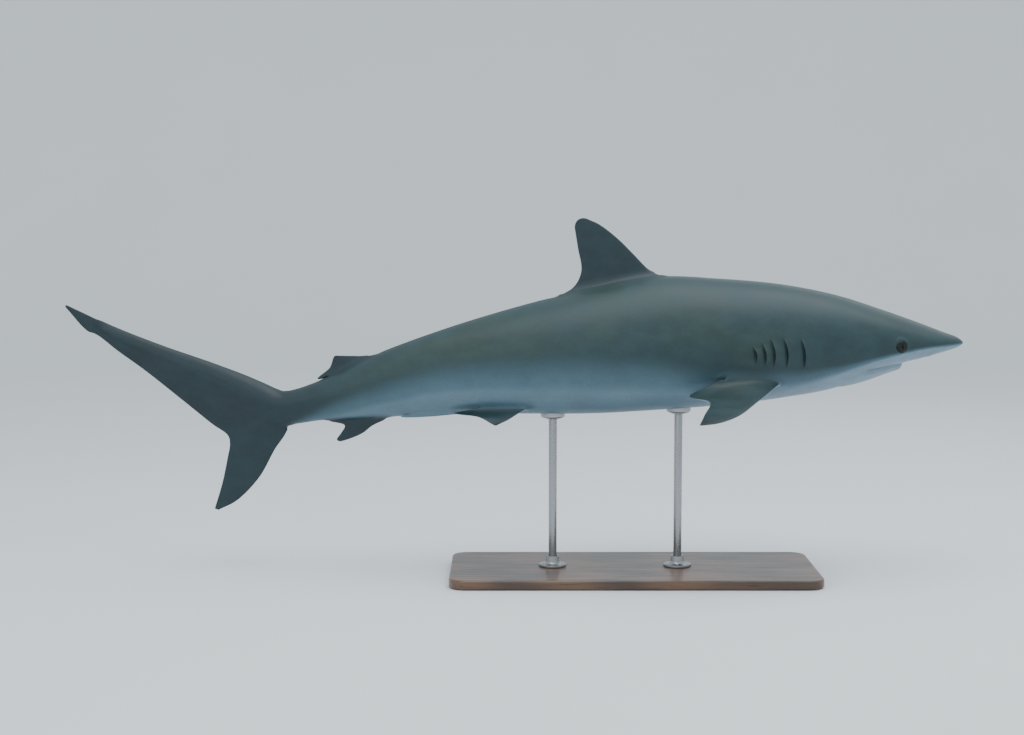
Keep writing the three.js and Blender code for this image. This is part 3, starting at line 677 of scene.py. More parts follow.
def divide_edges(mesh, longest):
    """Divides edges until none is longer than the length given for both its ends, 0 for any length."""
    mark = mesh.attributes.new("longest", "FLOAT", "POINT")
    mark.data.foreach_set("value", longest.astype(np.float32))
    bm = bmesh.new()
    bm.from_mesh(mesh)
    layer = bm.verts.layers.float["longest"]
    for _ in range(3):
        long_edges = []
        for edge in bm.edges:
            limit = min(edge.verts[0][layer], edge.verts[1][layer])
            if limit > 0 and edge.calc_length() > limit:
                long_edges.append(edge)
        if not long_edges:
            break
        bmesh.ops.subdivide_edges(bm, edges=long_edges, cuts=1)
        bmesh.ops.triangulate(bm, faces=[f for f in bm.faces if len(f.verts) > 4])
    bm.to_mesh(mesh)
    bm.free()
    mesh.attributes.remove(mesh.attributes["longest"])


def gap_to_seam(co, seam, reach):
    gap = np.full(len(co), 2.0 * reach)
    around = near_box(co, seam, 1.5 * reach)
    gap[around] = distance_to_points(co[around], seam, 2.0 * reach)
    return gap


def relax(co, edges, weight, rounds):
    """Moves points towards the mean of their neighbours."""
    a, b = edges[:, 0], edges[:, 1]
    count = np.bincount(a, minlength=len(co)) + np.bincount(b, minlength=len(co))
    moving = np.nonzero((weight > 0) & (count > 0))[0]
    for _ in range(rounds):
        total = np.stack([np.bincount(a, co[b, axis], len(co)) + np.bincount(b, co[a, axis], len(co))
                          for axis in range(3)], 1)
        co[moving] += RELAX_STEP * weight[moving, None] * (total[moving] / count[moving, None] - co[moving])


FAIR_REACH = 1.6
FAIR_EDGES = (2.5, 4.5)
FAIR_PUSH = 0.27
FAIR_ROUNDS = 14


def fair(co, own, edges, seam, body, piece, fillet):
    """Fillets the crease where a piece has been joined to the body, as a smooth union of the two would.

    The points round the seam are pushed out of the corner along the mean of the two surfaces' ways out,
    then relaxed.
    """
    reach = FAIR_REACH * fillet
    gap = gap_to_seam(co, seam, reach)
    band = np.nonzero(gap < reach)[0]
    to_body, from_body, _ = nearest(body, co[band], 2 * fillet)
    to_piece, from_piece, _ = nearest(tree_of(*piece), co[band], 2 * fillet)
    from_body[to_body < TOUCHING] = own[band][to_body < TOUCHING]
    from_piece[to_piece < TOUCHING] = own[band][to_piece < TOUCHING]
    share = np.clip(0.5 - 0.5 * (to_piece - to_body) / fillet, 0, 1)[:, None]
    way = from_body * (1 - share) + from_piece * share
    length = np.linalg.norm(way, axis=1)
    # where the two surfaces face each other, as under a fin's free rear tip, nothing is filled
    meeting = np.clip(1 - np.abs(to_piece - to_body) / fillet, 0, 1) ** 2 * smooth_step(0.4, 0.68, length)
    meeting *= 1 - smooth_step(0.6 * fillet, reach, gap[band])
    co[band] += way / np.maximum(length, 0.3)[:, None] * (FAIR_PUSH * fillet * meeting)[:, None]
    weight = 1 - smooth_step(0.15 * fillet, 0.5 * fillet, gap)
    relax(co, edges[(weight[edges] > 0).any(1)], weight, FAIR_ROUNDS)


def fin_shapes():
    """Every fin and clasper by name: its shape and the size of its fillet."""
    shapes = {"tail": (fin_mesh(TAIL_FIN, 1, tail_thickness), TAIL_FIN["fillet"])}
    for name, fin in FINS.items():
        if fin.get("paired"):
            shapes[name + "_left"] = (fin_mesh(fin, 1), fin["fillet"])
            shapes[name + "_right"] = (fin_mesh(fin, -1), fin["fillet"])
        else:
            shapes[name] = (fin_mesh(fin), fin["fillet"])
    shapes["clasper_left"] = (clasper_mesh(1), CLASPER["fillet"])
    shapes["clasper_right"] = (clasper_mesh(-1), CLASPER["fillet"])
    return shapes


def join_fins(skin, body):
    """Every fin and clasper becomes one with the body, with a fillet at its root. Returns their shapes."""
    shapes = fin_shapes()
    boolean(skin, new_object("fins", *merged([shape for shape, _ in shapes.values()])), "UNION")
    mesh = skin.data
    co, edges = coordinates(mesh), edge_ends(mesh)
    seams = {label: seam_of(co, edges, body, shape) for label, (shape, _) in shapes.items()}
    longest = np.zeros(len(co))
    for label, (_, fillet) in shapes.items():
        reach = 1.3 * fillet
        longest[gap_to_seam(co, seams[label], reach) < reach] = np.clip(0.2 * fillet, *FAIR_EDGES)
    divide_edges(mesh, longest)
    co, edges, own = coordinates(mesh), edge_ends(mesh), vertex_normals(mesh)
    for label, (shape, fillet) in shapes.items():
        fair(co, own, edges, seams[label], body, shape, fillet)
    mesh.vertices.foreach_set("co", co.ravel())
    mesh.update()
    return {label: shape for label, (shape, _) in shapes.items()}


# ---- Cuts: mouth, gill slits, nostrils, eye sockets ----

SLIT = {"depth": 8.0, "gape": 1.3, "ends": 0.5, "slant": 5.0, "ahead": 0.3}
PAST_SKIN = 12  # how far a gill cutter stands out of the skin
EYE_PLAY = 0.3  # room between the eyeball and its socket


def gill_cutter(gill, side):
    """A curved wedge that opens a slit behind its flap and runs forward under it."""
    rings = []
    for t in np.linspace(0, 1, 22):
        rise = gill[2] + (gill[1] - gill[2]) * t
        line, arc = gill_line(gill, rise)
        x = SNOUT_X - line * PERCENT - SLIT["ahead"]
        z = SNOUT_Z + rise * PERCENT
        skin = skin_out(np.array(line), np.array(rise)) * PERCENT
        gape = SLIT["ends"] + (SLIT["gape"] - SLIT["ends"]) * arc**FLAP_FADE
        depth = SLIT["depth"] * (0.2 + 0.8 * arc)
        slant = SLIT["slant"] * arc
        corners = [(x, skin + PAST_SKIN), (x, skin - 2), (x + slant, skin - depth),
                   (x + slant - 0.4 * gape, skin - depth), (x - gape, skin - 3), (x - gape, skin + PAST_SKIN)]
        rings.append([(cx, side * cy, z) for cx, cy in corners])
    return ring_solid(np.array(rings))


def mouth_cutter():
    """A thin curtain along the arch of the lower lip, open downward."""
    rings = []
    for u in np.linspace(-1, 1, 81):
        behind = (MOUTH["corner"] - MOUTH["front"]) * u * u
        out = MOUTH["half_width"] * u * CHIN_SPREAD
        at = MOUTH["front"] + behind
        along = np.array([-(MOUTH["corner"] - MOUTH["front"]) * 2 * u, MOUTH["half_width"] * CHIN_SPREAD])
        along /= np.linalg.norm(along)
        outward = np.array([along[1], -along[0]])
        x, y, z = place((at, out, under_rise(at, out)))
        closing = 1 - abs(u) ** 8
        half = 0.3 + 1.0 * closing
        top = z + 3 + 7 * closing
        corners = [(half, z - 40), (half, top), (-half, top), (-half, z - 40)]
        rings.append([(x + outward[0] * c, y + outward[1] * c, h) for c, h in corners])
    return ring_solid(np.array(rings))


def ellipsoid(radii, steps=36):
    """Unit directions scaled by three radii, poles along the second axis."""
    lat = np.linspace(0, math.pi, steps)[1:-1]
    lon = np.linspace(0, 2 * math.pi, 2 * steps, endpoint=False)
    a, b = np.meshgrid(lat, lon, indexing="ij")
    rings = np.stack([np.sin(a) * np.cos(b), np.cos(a), np.sin(a) * np.sin(b)], -1) * radii
    vertices, faces = ring_solid(rings)
    vertices[-2:] = np.array([(0, 1, 0), (0, -1, 0)]) * radii
    return vertices, faces


def eye_frame():
    """Centre of the left eyeball and the turn of its axis about the vertical."""
    at, rise = np.array(EYE["back"]), np.array(EYE["rise"])
    ahead, behind = skin_out(at - 1, rise), skin_out(at + 1, rise)
    centre = place((EYE["back"], float(skin_out(at, rise)), EYE["rise"])) - (0, EYE["seat"], 0)
    return centre, -math.atan2(behind - ahead, 2)


def in_eye_frame(vertices, side):
    """From the eye's own frame, its axis along +Y, to its place in the head."""
    centre, turn = eye_frame()
    c, s = math.cos(turn), math.sin(turn)
    x, y, z = vertices.T
    return (np.stack([c * x - s * y, s * x + c * y, z], -1) + centre) * (1, side, 1)


def eye_shape(side):
    vertices, faces = ellipsoid(np.array([EYE["radius"], EYE["depth"], EYE["radius"]]))
    return in_eye_frame(vertices, side), faces


def socket_cutter(side):
    """Hollow for the eyeball, with a round opening between the lids that is narrower than the ball."""
    opening = EYE["opening"]
    depth, radius = EYE["depth"] + EYE_PLAY, EYE["radius"] + EYE_PLAY
    rim = depth * math.sqrt(1 - (opening / radius) ** 2)
    heights = np.concatenate([-depth * np.cos(np.linspace(0.08, math.acos(-rim / depth), 26)), [rim + 3, 18]])
    ball = radius * np.sqrt(np.maximum(1 - (heights / depth) ** 2, 0))
    widths = np.where(heights <= rim + 0.01, ball, opening)
    widths[-1] = opening + 1.5
    turn = np.linspace(0, 2 * math.pi, 72, endpoint=False)
    rings = np.stack([widths[:, None] * np.cos(turn), heights[:, None] + 0 * turn,
                      widths[:, None] * np.sin(turn)], -1)
    vertices, faces = ring_solid(rings)
    return in_eye_frame(vertices, side), faces


def nostril_cutter(side):
    """An oblique slit under the snout, its outer end the farther forward."""
    at, out = NOSTRIL["back"], NOSTRIL["out"]
    centre = place((at, out, under_rise(at, out)))
    vertices, faces = ellipsoid(np.array([NOSTRIL["length"] / 2, 6.0, NOSTRIL["width"] / 2]), 18)
    long_axis = np.array([0.62, 0.74, 0.25])
    long_axis /= np.linalg.norm(long_axis)
    deep = np.array([0.05, -0.45, 0.9])
    deep -= long_axis * (deep @ long_axis)
    deep /= np.linalg.norm(deep)
    across = np.cross(long_axis, deep)
    vertices = vertices @ np.array([long_axis, deep, across]) + centre
    return vertices * (1, side, 1), faces


def cut_openings(skin):
    cutters = [mouth_cutter()]
    for side in (1, -1):
        cutters += [gill_cutter(gill, side) for gill in GILLS]
        cutters += [socket_cutter(side), nostril_cutter(side)]
    boolean(skin, new_object("cutters", *merged(cutters)), "DIFFERENCE")


# ---- Colour of the skin ----

# Height of the line between the grey back and the pale belly, and half the width of its blur.
COLOUR_LINE = np.array([
    (0, -0.12, 0.1), (1.1, -0.19, 0.1), (4.3, -0.41, 0.12), (7.2, -0.9, 0.14), (10.8, -1.8, 0.24),
    (15.1, -3.05, 0.45), (19.3, -4.05, 0.8), (27, -4.5, 1.2), (34, -4.3, 1.6), (41, -4.2, 1.8),
    (49, -4.1, 1.8), (57, -4.6, 1.6), (65, -6.4, 1.2), (71, -8.4, 0.9), (75.8, -10.5, 0.6), (80, -13, 0.6),
])
# Shades run from the pale belly to the dark back. Painted shade makes the rear belly less pale, and the
# claspers are less pale.
PALE = -3
DARK = 3
BELLY_PAINTED_SHADE = 2.4
CLASPER_SHADE = 2.4
# Paired fins: their shade above and below, the tone and strength of the painted shade round their root
# on the body, and their share of the dark fin colour.
PAIRED_ABOVE = 3.2
PAIRED_BELOW = -2.6
PAINTED_ROOT_SHADE = 1.7
PAINTED_ROOT_SHADE_STRENGTH = 0.5
PAIRED_DARKNESS = 0.4
# Unpaired fins: share of their dark colour on the body round the root, partly painted shade over the fillet.
UNPAIRED_ROOT_DARK_AND_PAINTED_SHADE = 0.85
# Strength of the painted shade in the cleft behind a gill flap and along the line between the lips.
CLEFT_PAINTED_SHADE = 0.2
LIP_PAINTED_SHADE = 0.45
# Farthest distances that are looked at, in millimetres.
FIN_HALO = 24.0
OFF_BODY_REACH = 60.0
OPENING_REACH = 12.0
line_height = smooth_column(COLOUR_LINE, 1)
line_blur = smooth_column(COLOUR_LINE, 2)


def skin_tones(co, normals, sources, uncut):
    """Per vertex: pale-to-dark shade, share of fin, of dusky tip, of painted shade in openings, clefts and
    lips, of snout.
    """
    at = (SNOUT_X - co[:, 0]) / PERCENT
    rise = (co[:, 2] - SNOUT_Z) / PERCENT
    # painted shade: the pale underside is darkened behind the throat
    palest = PALE + BELLY_PAINTED_SHADE * smooth_step(14, 34, at)
    shade = np.clip((rise - line_height(at)) / line_blur(at), palest, DARK)
    fin = np.zeros(len(co))
    tip = np.zeros(len(co))
    for label, (vertices, faces) in sources.items():
        near = near_box(co, vertices, FIN_HALO)
        gap = distance_to(tree_of(vertices, faces), co[near], FIN_HALO)
        close = 1 - smooth_step(2.5, 9, gap)
        off_body = distance_to(uncut, co[near], OFF_BODY_REACH)
        part = close * smooth_step(1, 13, off_body)
        if label.startswith("clasper"):
            off_pale = CLASPER_SHADE * close * smooth_step(0, 5, off_body)
            shade[near] = np.maximum(shade[near], PALE + off_pale)
            continue
        # round its root the body darkens: at unpaired fins with the fin's dark colour and painted shade over
        # the fillet, at paired fins with painted shade only
        root = 1 - smooth_step(0, FIN_HALO, gap)
        measures = FINS.get(label.split("_")[0], {})
        if measures.get("paired"):
            fin[near] = np.maximum(fin[near], PAIRED_DARKNESS * part)
            upward = smooth_step(-0.25, 0.25, normals[near, 2])
            edge = smooth_step(0.25, 1, off_body / OFF_BODY_REACH)
            target = PAIRED_ABOVE * upward + PAIRED_BELOW * (1 - upward)
            shade[near] = shade[near] * (1 - part) + target * part
            far = np.abs(co[near, 1]) / PERCENT
            tip[near] = np.maximum(tip[near], smooth_step(0.72, 1, far / measures["reach"]) * part * edge)
            # the painted shade round the root on the body is weaker, and fades where the skin faces down
            level = measures["painted_shade_level"]
            root *= PAINTED_ROOT_SHADE_STRENGTH * (1 - part) * smooth_step(level - 0.4, level, normals[near, 2])
            shade[near] = shade[near] * (1 - root) + PAINTED_ROOT_SHADE * root
        else:
            part = np.maximum(part, UNPAIRED_ROOT_DARK_AND_PAINTED_SHADE * root)
            fin[near] = np.maximum(fin[near], part)
            shade[near] = shade[near] * (1 - part) + DARK * part
    # painted shade: the openings are painted dark where they sink below the bare skin, apart from the lids
    # round the eyes
    painted_recess_shade = np.zeros(len(co))
    head = np.nonzero(at < 25.5)[0]
    gap, _, under = nearest(uncut, co[head], OPENING_REACH)
    depth = gap * under
    lids = np.hypot(at[head] - EYE["back"], rise[head] - EYE["rise"]) * PERCENT
    painted_recess_shade[head] = smooth_step(0.8, 4.5, depth) * (fin[head] < 0.02) * smooth_step(12, 24, lids)
    # soft painted shade in the cleft behind each flap and along the lips
    side = np.abs(co[:, 1]) / PERCENT
    for gill in GILLS:
        line, arc = gill_line(gill, rise)
        cleft = CLEFT_PAINTED_SHADE * arc * bump((at - line) * PERCENT - 3, 5)
        painted_recess_shade = np.maximum(painted_recess_shade, cleft * (side > 0.6 * half_at(at)) * (fin < 0.02))
    gap, nearness = mouth_gap(at, side)
    painted_recess_shade = np.maximum(painted_recess_shade, LIP_PAINTED_SHADE * nearness * bump(gap, 2.2) * (rise < -1.2) * (at < 14))
    snout = (1 - smooth_step(9, 13, at)) * smooth_step(0.3, 0.8, at)
    # the body darkens towards the tail
    fin = np.maximum(fin, smooth_step(64, 79, at) * smooth_step(-1, 1, shade))
    return {"shade": shade, "fin": fin, "tip": tip, "painted_recess_shade": painted_recess_shade, "snout": snout}


def sweep(co):
    """The tail's gentle turn to the left."""
    at = (SNOUT_X - co[:, 0]) / PERCENT
    share = np.maximum((at - SWAY_START) / (100 - SWAY_START), 0)
    swept = co.copy()
    swept[:, 1] += SWAY * share**2
    return swept


def finished(piece, crease=40):
    """The piece with smooth shading and crisp creases."""
    mesh = piece.data
    mesh.polygons.foreach_set("use_smooth", np.ones(len(mesh.polygons), bool))
    mesh.set_sharp_from_angle(angle=math.radians(crease))
    return piece


def make_skin():
    vertices, faces = body_mesh()
    skin = new_object("shark_skin", vertices, faces)
    uncut = tree_of(vertices, faces)
    sources = join_fins(skin, uncut)
    cut_openings(skin)
    bm = bmesh.new()
    bm.from_mesh(skin.data)
    bmesh.ops.remove_doubles(bm, verts=bm.verts, dist=0.02)
    bmesh.ops.dissolve_degenerate(bm, edges=bm.edges, dist=0.01)
    bm.to_mesh(skin.data)
    bm.free()
    mesh = skin.data
    co = coordinates(mesh)
    store_values(mesh, skin_tones(co, vertex_normals(mesh), sources, uncut))
    mesh.vertices.foreach_set("co", (sweep(co) * MM).ravel())
    mesh.update()
    return finished(skin, 55)


# ---- Materials ----


# Linear colours.
COLOURS = {
    "belly": (0.17, 0.25, 0.315, 1),
    "flank": (0.062, 0.118, 0.155, 1),
    "back": (0.017, 0.042, 0.048, 1),
    "bronze": (0.026, 0.047, 0.036, 1),
    "fin": (0.011, 0.024, 0.032, 1),
    "fin_tip": (0.014, 0.022, 0.026, 1),
    "snout_pore": (0.02, 0.03, 0.032, 1),
    # colour of the painted shade in the openings, the clefts and along the lips
    "opening": (0.014, 0.016, 0.018, 1),
    "iris": (0.005, 0.007, 0.006, 1),
    "iris_streak": (0.016, 0.020, 0.016, 1),
    "iris_rim": (0.003, 0.004, 0.004, 1),
    "pupil": (0.001, 0.001, 0.001, 1),
    "wood_dark": (0.030, 0.014, 0.007, 1),
    "wood_light": (0.125, 0.062, 0.030, 1),
    "wood_pore": (0.018, 0.008, 0.004, 1),
    "steel_dark": (0.30, 0.31, 0.32, 1),
    "steel_light": (0.36, 0.37, 0.38, 1),
    "floor_dark": (0.70, 0.73, 0.75, 1),
    "floor_light": (0.74, 0.77, 0.79, 1),
}


class Nodes:
    """Short way to build a node material."""

    def __init__(self, name):
        self.material = bpy.data.materials.new(name)
        self.material.use_nodes = True
        self.tree = self.material.node_tree
        self.shader = self.tree.nodes["Principled BSDF"]

    def add(self, kind, **inputs):
        node = self.tree.nodes.new(kind)
        for key, value in inputs.items():
            self.set(node, key, value)
        return node

    def set(self, node, key, value):
        """Sets or links an input, named, or given as i and its number. A text is the name of a colour."""
        if isinstance(value, str):
            value = COLOURS[value]
        socket = node.inputs[int(key[1:])] if key[0] == "i" and key[1:].isdigit() else node.inputs[key]
        if isinstance(value, bpy.types.NodeSocket):
            self.tree.links.new(value, socket)
        else:
            socket.default_value = value

    def surface(self, **values):
        """Sets the shader's inputs, with an underscore for each space in a name."""
        for key, value in values.items():
            self.set(self.shader, key.replace("_", " "), value)

    def maths(self, operation, a, b):
        node = self.add("ShaderNodeMath", i0=a, i1=b)
        node.operation = operation
        return node.outputs[0]

    def plus(self, a, b):
        return self.maths("ADD", a, b)

    def times(self, a, b):
        return self.maths("MULTIPLY", a, b)

    def between(self, value, low, high, to_low=0.0, to_high=1.0):
        """The value's smooth way from low to high, as a number from to_low to to_high."""
        node = self.add("ShaderNodeMapRange")
        node.interpolation_type = "SMOOTHSTEP"
        names = ("Value", "From Min", "From Max", "To Min", "To Max")
        for key, entry in zip(names, (value, low, high, to_low, to_high)):
            self.set(node, key, entry)
        return node.outputs["Result"]

    def mix(self, share, a, b, blend="MIX"):
        node = self.tree.nodes.new("ShaderNodeMix")
        node.data_type = "RGBA"
        node.blend_type = blend
        for key, value in (("i0", share), ("i6", a), ("i7", b)):
            self.set(node, key, value)
        return node.outputs[2]

    def attribute(self, name):
        node = self.tree.nodes.new("ShaderNodeAttribute")
        node.attribute_name = name
        return node.outputs["Fac"]

    def place(self, scale):
        coordinate = self.add("ShaderNodeTexCoord").outputs["Object"]
        return self.add("ShaderNodeMapping", Vector=coordinate, Scale=scale).outputs[0]

    def noise(self, scale, detail=4.0, roughness=0.55, stretch=(1, 1, 1)):
        where = self.place(stretch)
        node = self.add("ShaderNodeTexNoise", Vector=where, Scale=scale, Detail=detail, Roughness=roughness)
        return node.outputs["Fac"]

    def bump(self, height, strength, distance):
        node = self.add("ShaderNodeBump", Strength=strength, Distance=distance, Height=height)
        self.surface(Normal=node.outputs[0])


def skin_material():
    m = Nodes("shark_skin")
    cloud = m.noise(5.5, 5, 0.6, (0.6, 1, 1))
    patch = m.noise(26, 5, 0.6, (0.7, 1, 1))
    grain = m.noise(420, 3, 0.6, (0.45, 1, 1))
    # the line between the back and the belly is a little ragged
    ragged = m.plus(m.maths("SUBTRACT", cloud, 0.5), m.times(m.maths("SUBTRACT", patch, 0.5), 0.9))
    shade = m.plus(m.attribute("shade"), ragged)
    colour = m.mix(m.between(shade, -1.5, 0.1), "belly", "flank")
    colour = m.mix(m.between(shade, -0.3, 2.0), colour, "back")
    warm = m.times(m.between(cloud, 0.42, 0.68), m.between(shade, 0.8, 2.5))
    colour = m.mix(m.times(warm, 0.55), colour, "bronze")
    on_fin = m.times(m.between(m.attribute("fin"), 0.1, 0.95), m.between(shade, 0, 2, 0, 0.75))
    colour = m.mix(on_fin, colour, "fin")
    colour = m.mix(m.times(m.attribute("tip"), 0.8), colour, "fin_tip")
    light = m.plus(m.between(patch, 0.3, 0.7, 0.86, 1.12), m.between(grain, 0.3, 0.7, -0.07, 0.07))
    grey = m.add("ShaderNodeCombineColor", Red=light, Green=light, Blue=light).outputs[0]
    colour = m.mix(1.0, colour, grey, "MULTIPLY")
    cells = m.add("ShaderNodeTexVoronoi", Vector=m.place((1, 1, 1)), Scale=190.0, Randomness=0.85)
    pore = m.between(cells.outputs["Distance"], 0.10, 0.20, 1, 0)
    colour = m.mix(m.times(pore, m.times(m.attribute("snout"), 0.4)), colour, "snout_pore")
    # painted shade in the openings, in the clefts behind the gill flaps and along the lips
    colour = m.mix(m.attribute("painted_recess_shade"), colour, "opening")
    rough = m.plus(m.between(patch, 0.3, 0.7, 0.44, 0.54), m.between(grain, 0.3, 0.7, -0.03, 0.05))
    m.surface(Base_Color=colour, Roughness=rough, Specular_IOR_Level=0.32)
    m.surface(Coat_Weight=0.06, Coat_Roughness=0.3)
    denticles = m.noise(110, 4, 0.6, (0.5, 1, 1))
    m.bump(m.plus(m.times(grain, 0.35), m.times(denticles, 0.65)), 0.22, 0.0012)
    return m.material


def eye_material():
    m = Nodes("shark_eye")
    iris = m.mix(m.noise(700, 3, 0.7), "iris", "iris_streak")
    iris = m.mix(m.between(m.attribute("ring"), 0.55, 0.80), iris, "iris_rim")
    colour = m.mix(m.between(m.attribute("slit"), 0.92, 1.08, 1, 0), iris, "pupil")
    m.surface(Base_Color=colour, Roughness=0.08, Specular_IOR_Level=0.2)
    m.surface(Coat_Weight=0.08, Coat_Roughness=0.03)
    return m.material


def wood_material():
    m = Nodes("stained_walnut")
    long_grain = m.noise(9, 8, 0.62, (0.16, 2.6, 2.6))
    where = m.place((0.12, 1, 1))
    wave = m.add("ShaderNodeTexWave", Vector=where, Scale=7.0, Distortion=7.0, Detail=4.0)
    m.set(wave, "Detail Scale", 1.6)
    figure = m.plus(m.times(wave.outputs["Fac"], 0.25), m.times(long_grain, 0.75))
    colour = m.mix(m.between(figure, 0.25, 0.75), "wood_dark", "wood_light")
    pores = m.noise(170, 4, 0.7, (0.05, 1.6, 1.6))
    colour = m.mix(m.between(pores, 0.56, 0.68), colour, "wood_pore")
    rough = m.between(pores, 0.3, 0.7, 0.34, 0.48)
    m.surface(Base_Color=colour, Roughness=rough, Coat_Weight=0.35, Coat_Roughness=0.18)
    m.bump(m.times(pores, -1.0), 0.2, 0.0006)
    return m.material


def steel_material():
    m = Nodes("brushed_steel")
    turned = m.noise(240, 3, 0.6, (0.5, 0.5, 2.2))
    smudge = m.noise(14, 4, 0.6)
    rough = m.plus(m.between(turned, 0.3, 0.7, 0.24, 0.30), m.between(smudge, 0.4, 0.7, 0, 0.08))
    colour = m.mix(turned, "steel_dark", "steel_light")
    m.surface(Base_Color=colour, Metallic=1.0, Roughness=rough)
    m.bump(turned, 0.05, 0.0002)
    return m.material


def dress(piece, material, slot, *nodes):
    """Material, body, record slot (not used) and the solids that the piece stands for."""
    piece.data.materials.clear()
    piece.data.materials.append(material)
    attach(piece, "root")
    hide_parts(*nodes)


# ---- Pieces ----


def make_eye(side):
    vertices, faces = eye_shape(side)
    ball = new_object("left_eyeball" if side > 0 else "right_eyeball", vertices, faces, MM)
    centre, turn = eye_frame()
    local = coordinates(ball.data) / MM * (1, side, 1) - centre
    along = local[:, 0] * math.cos(turn) + local[:, 1] * math.sin(turn)
    up = local[:, 2]
    ring = np.hypot(along, up) / EYE["radius"]
    slit = np.hypot(along / (0.17 * EYE["radius"]), up / (0.46 * EYE["radius"]))
    store_values(ball.data, {"ring": ring, "slit": slit})
    return finished(ball)


def lathe(profile, x, z, sides=72):
    """Closed solid turned about a vertical axis from (radius, height) points, ends on the axis or joined."""
    turn = np.linspace(0, 2 * math.pi, sides, endpoint=False)
    vertices = np.array([(x + r * math.cos(t), r * math.sin(t), z + h) for r, h in profile for t in turn])
    faces = []
    count = len(profile)
    for i in range(count):
        n = (i + 1) % count
        for j in range(sides):
            k = (j + 1) % sides
            faces.append((i * sides + j, i * sides + k, n * sides + k, n * sides + j))
    return vertices, faces


def rounded(profile, radius=1.0, steps=4):
    """The profile with each corner replaced by a small arc-like curve."""
    points = [np.array(p, float) for p in profile]
    made = []
    for before, corner, after in zip(points[-1:] + points[:-1], points, points[1:] + points[:1]):
        start = corner + (before - corner) * min(radius / np.linalg.norm(before - corner), 0.45)
        end = corner + (after - corner) * min(radius / np.linalg.norm(after - corner), 0.45)
        for t in np.linspace(0, 1, steps):
            made.append(tuple((1 - t) ** 2 * start + 2 * t * (1 - t) * corner + t * t * end))
    return made


def rod_x(at):
    return SNOUT_X - at * PERCENT


def make_rod(end, at):
    low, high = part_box(f"stand_rod_{end}")
    bottom, top = low.z / MM, high.z / MM
    length = top - bottom + ROD_IN_CUP
    profile = rounded([(ON_AXIS, 0), (ROD_RADIUS, 0), (ROD_RADIUS, length), (ON_AXIS, length)])
    return finished(new_object(f"support_rod_{end}", *lathe(profile, rod_x(at), bottom, 64), MM))


def make_flange(end, at):
    """Turned collar with a cove between plate and neck, and three countersunk screws."""
    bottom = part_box(f"stand_flange_{end}")[0].z / MM
    hole = ROD_RADIUS + FLANGE["play"]
    round_of = FLANGE["cove"]
    cove = [(FLANGE["neck"] + round_of * (1 - math.sin(a)), FLANGE["plate"] + round_of * (1 - math.cos(a)))
            for a in np.linspace(0, math.pi / 2, 8)]
    outline = [(hole, 0), (FLANGE["radius"], 0), (FLANGE["radius"], FLANGE["plate"])] + cove
    outline += [(FLANGE["neck"], FLANGE["height"]), (hole, FLANGE["height"])]
    profile = rounded(outline[:3], 1.2) + cove + rounded(outline[-2:], 1.2)
    shapes = [lathe(profile, rod_x(at), bottom)]
    for n in range(SCREWS["count"]):
        turn = math.radians(SCREWS["first"] + 360 // SCREWS["count"] * n)
        v, f = lathe(rounded(SCREW_OUTLINE, 0.3, 3), 0, 0, 24)
        middle = np.array([rod_x(at) + SCREWS["circle"] * math.cos(turn), SCREWS["circle"] * math.sin(turn),
                           bottom + FLANGE["plate"] - SCREWS["sunk"]])
        shapes.append((v + middle, f))
    return finished(new_object(f"support_flange_{end}", *merged(shapes), MM))


def make_cup(end, at, skin_shape):
    """Dished cup, cut to the belly with the clearance of the solids."""
    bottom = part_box(f"stand_cup_{end}")[0].z / MM
    radius, foot = CUP["radius"], CUP["foot"]
    height = CUP["below"] + CUP["above"]
    bowl = [(foot + (radius - foot) * math.sin(a), CUP["bowl_from"] + CUP["bowl"] * (1 - math.cos(a)))
            for a in np.linspace(0, math.pi / 2, 9)]
    profile = [(ON_AXIS, 0), (foot - 1, 0), (foot, 0.6)] + bowl + [(radius, height), (ON_AXIS, height)]
    cup = new_object(f"support_cup_{end}", *lathe(profile, rod_x(at), bottom))
    boolean(cup, new_object("belly", *skin_shape), "DIFFERENCE")
    cup.data.transform(Matrix.Scale(MM, 4))
    return finished(cup)


def make_base():
    """Board with rounded corners, an eased top edge and a shadow line above the floor."""
    low, high = (np.array(c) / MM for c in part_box("stand_base"))
    half = (high - low)[:2] / 2
    corner, ease = BOARD["corner"], BOARD["ease"]
    steps = np.linspace(0, math.pi / 2, 17)
    outline = []
    for sx, sy, start in ((1, 1, 0), (-1, 1, 1), (-1, -1, 2), (1, -1, 3)):
        for a in steps:
            turn = a + start * math.pi / 2
            outline.append((sx * (half[0] - corner), sy * (half[1] - corner), math.cos(turn), math.sin(turn)))
    outline = np.array(outline)

    def ring(inset, z):
        r = corner - inset
        return np.stack([outline[:, 0] + r * outline[:, 2], outline[:, 1] + r * outline[:, 3],
                         np.full(len(outline), z)], -1)

    top = high[2]
    rings = [ring(*step) for step in SHADOW_LINE]
    for a in np.linspace(0, math.pi / 2, 9):
        rings.append(ring(ease * (1 - math.cos(a)), top - ease * (1 - math.sin(a))))
    rings.append(ring(BOARD["top"], top))
    return finished(new_object("display_board", *ring_solid(np.array(rings)), MM), 35)


# ---- Stage ----

VIEW = {"back": 50.06, "rise": -2.89, "distance": 4.5, "elevation": 5.5, "focal": 1838.9}
FRAME_WIDTH = 1024
SENSOR_WIDTH = 36
FLOOR = {"front": -9.0, "rear": 5.5, "side": 12.0, "bend": 3.0, "wall": 9.0}
# Name, place, aim, size, watts and colour.
LIGHTS = [
    ("overhead", (0.4, -0.6, 3.4), (0, 0, 0.5), (4.2, 2.2), 105, (1, 1, 1)),
    ("camera_side", (-2.2, -4.2, 2.2), (0, 0, 0.5), (2.6, 2.0), 22, (0.96, 0.98, 1)),
    ("rear", (1.5, 3.2, 2.4), (0, 0, 0.6), (3.0, 1.4), 12, (0.9, 0.96, 1)),
]
SKY = {"colour": (0.85, 0.92, 0.97, 1), "strength": 1.1}


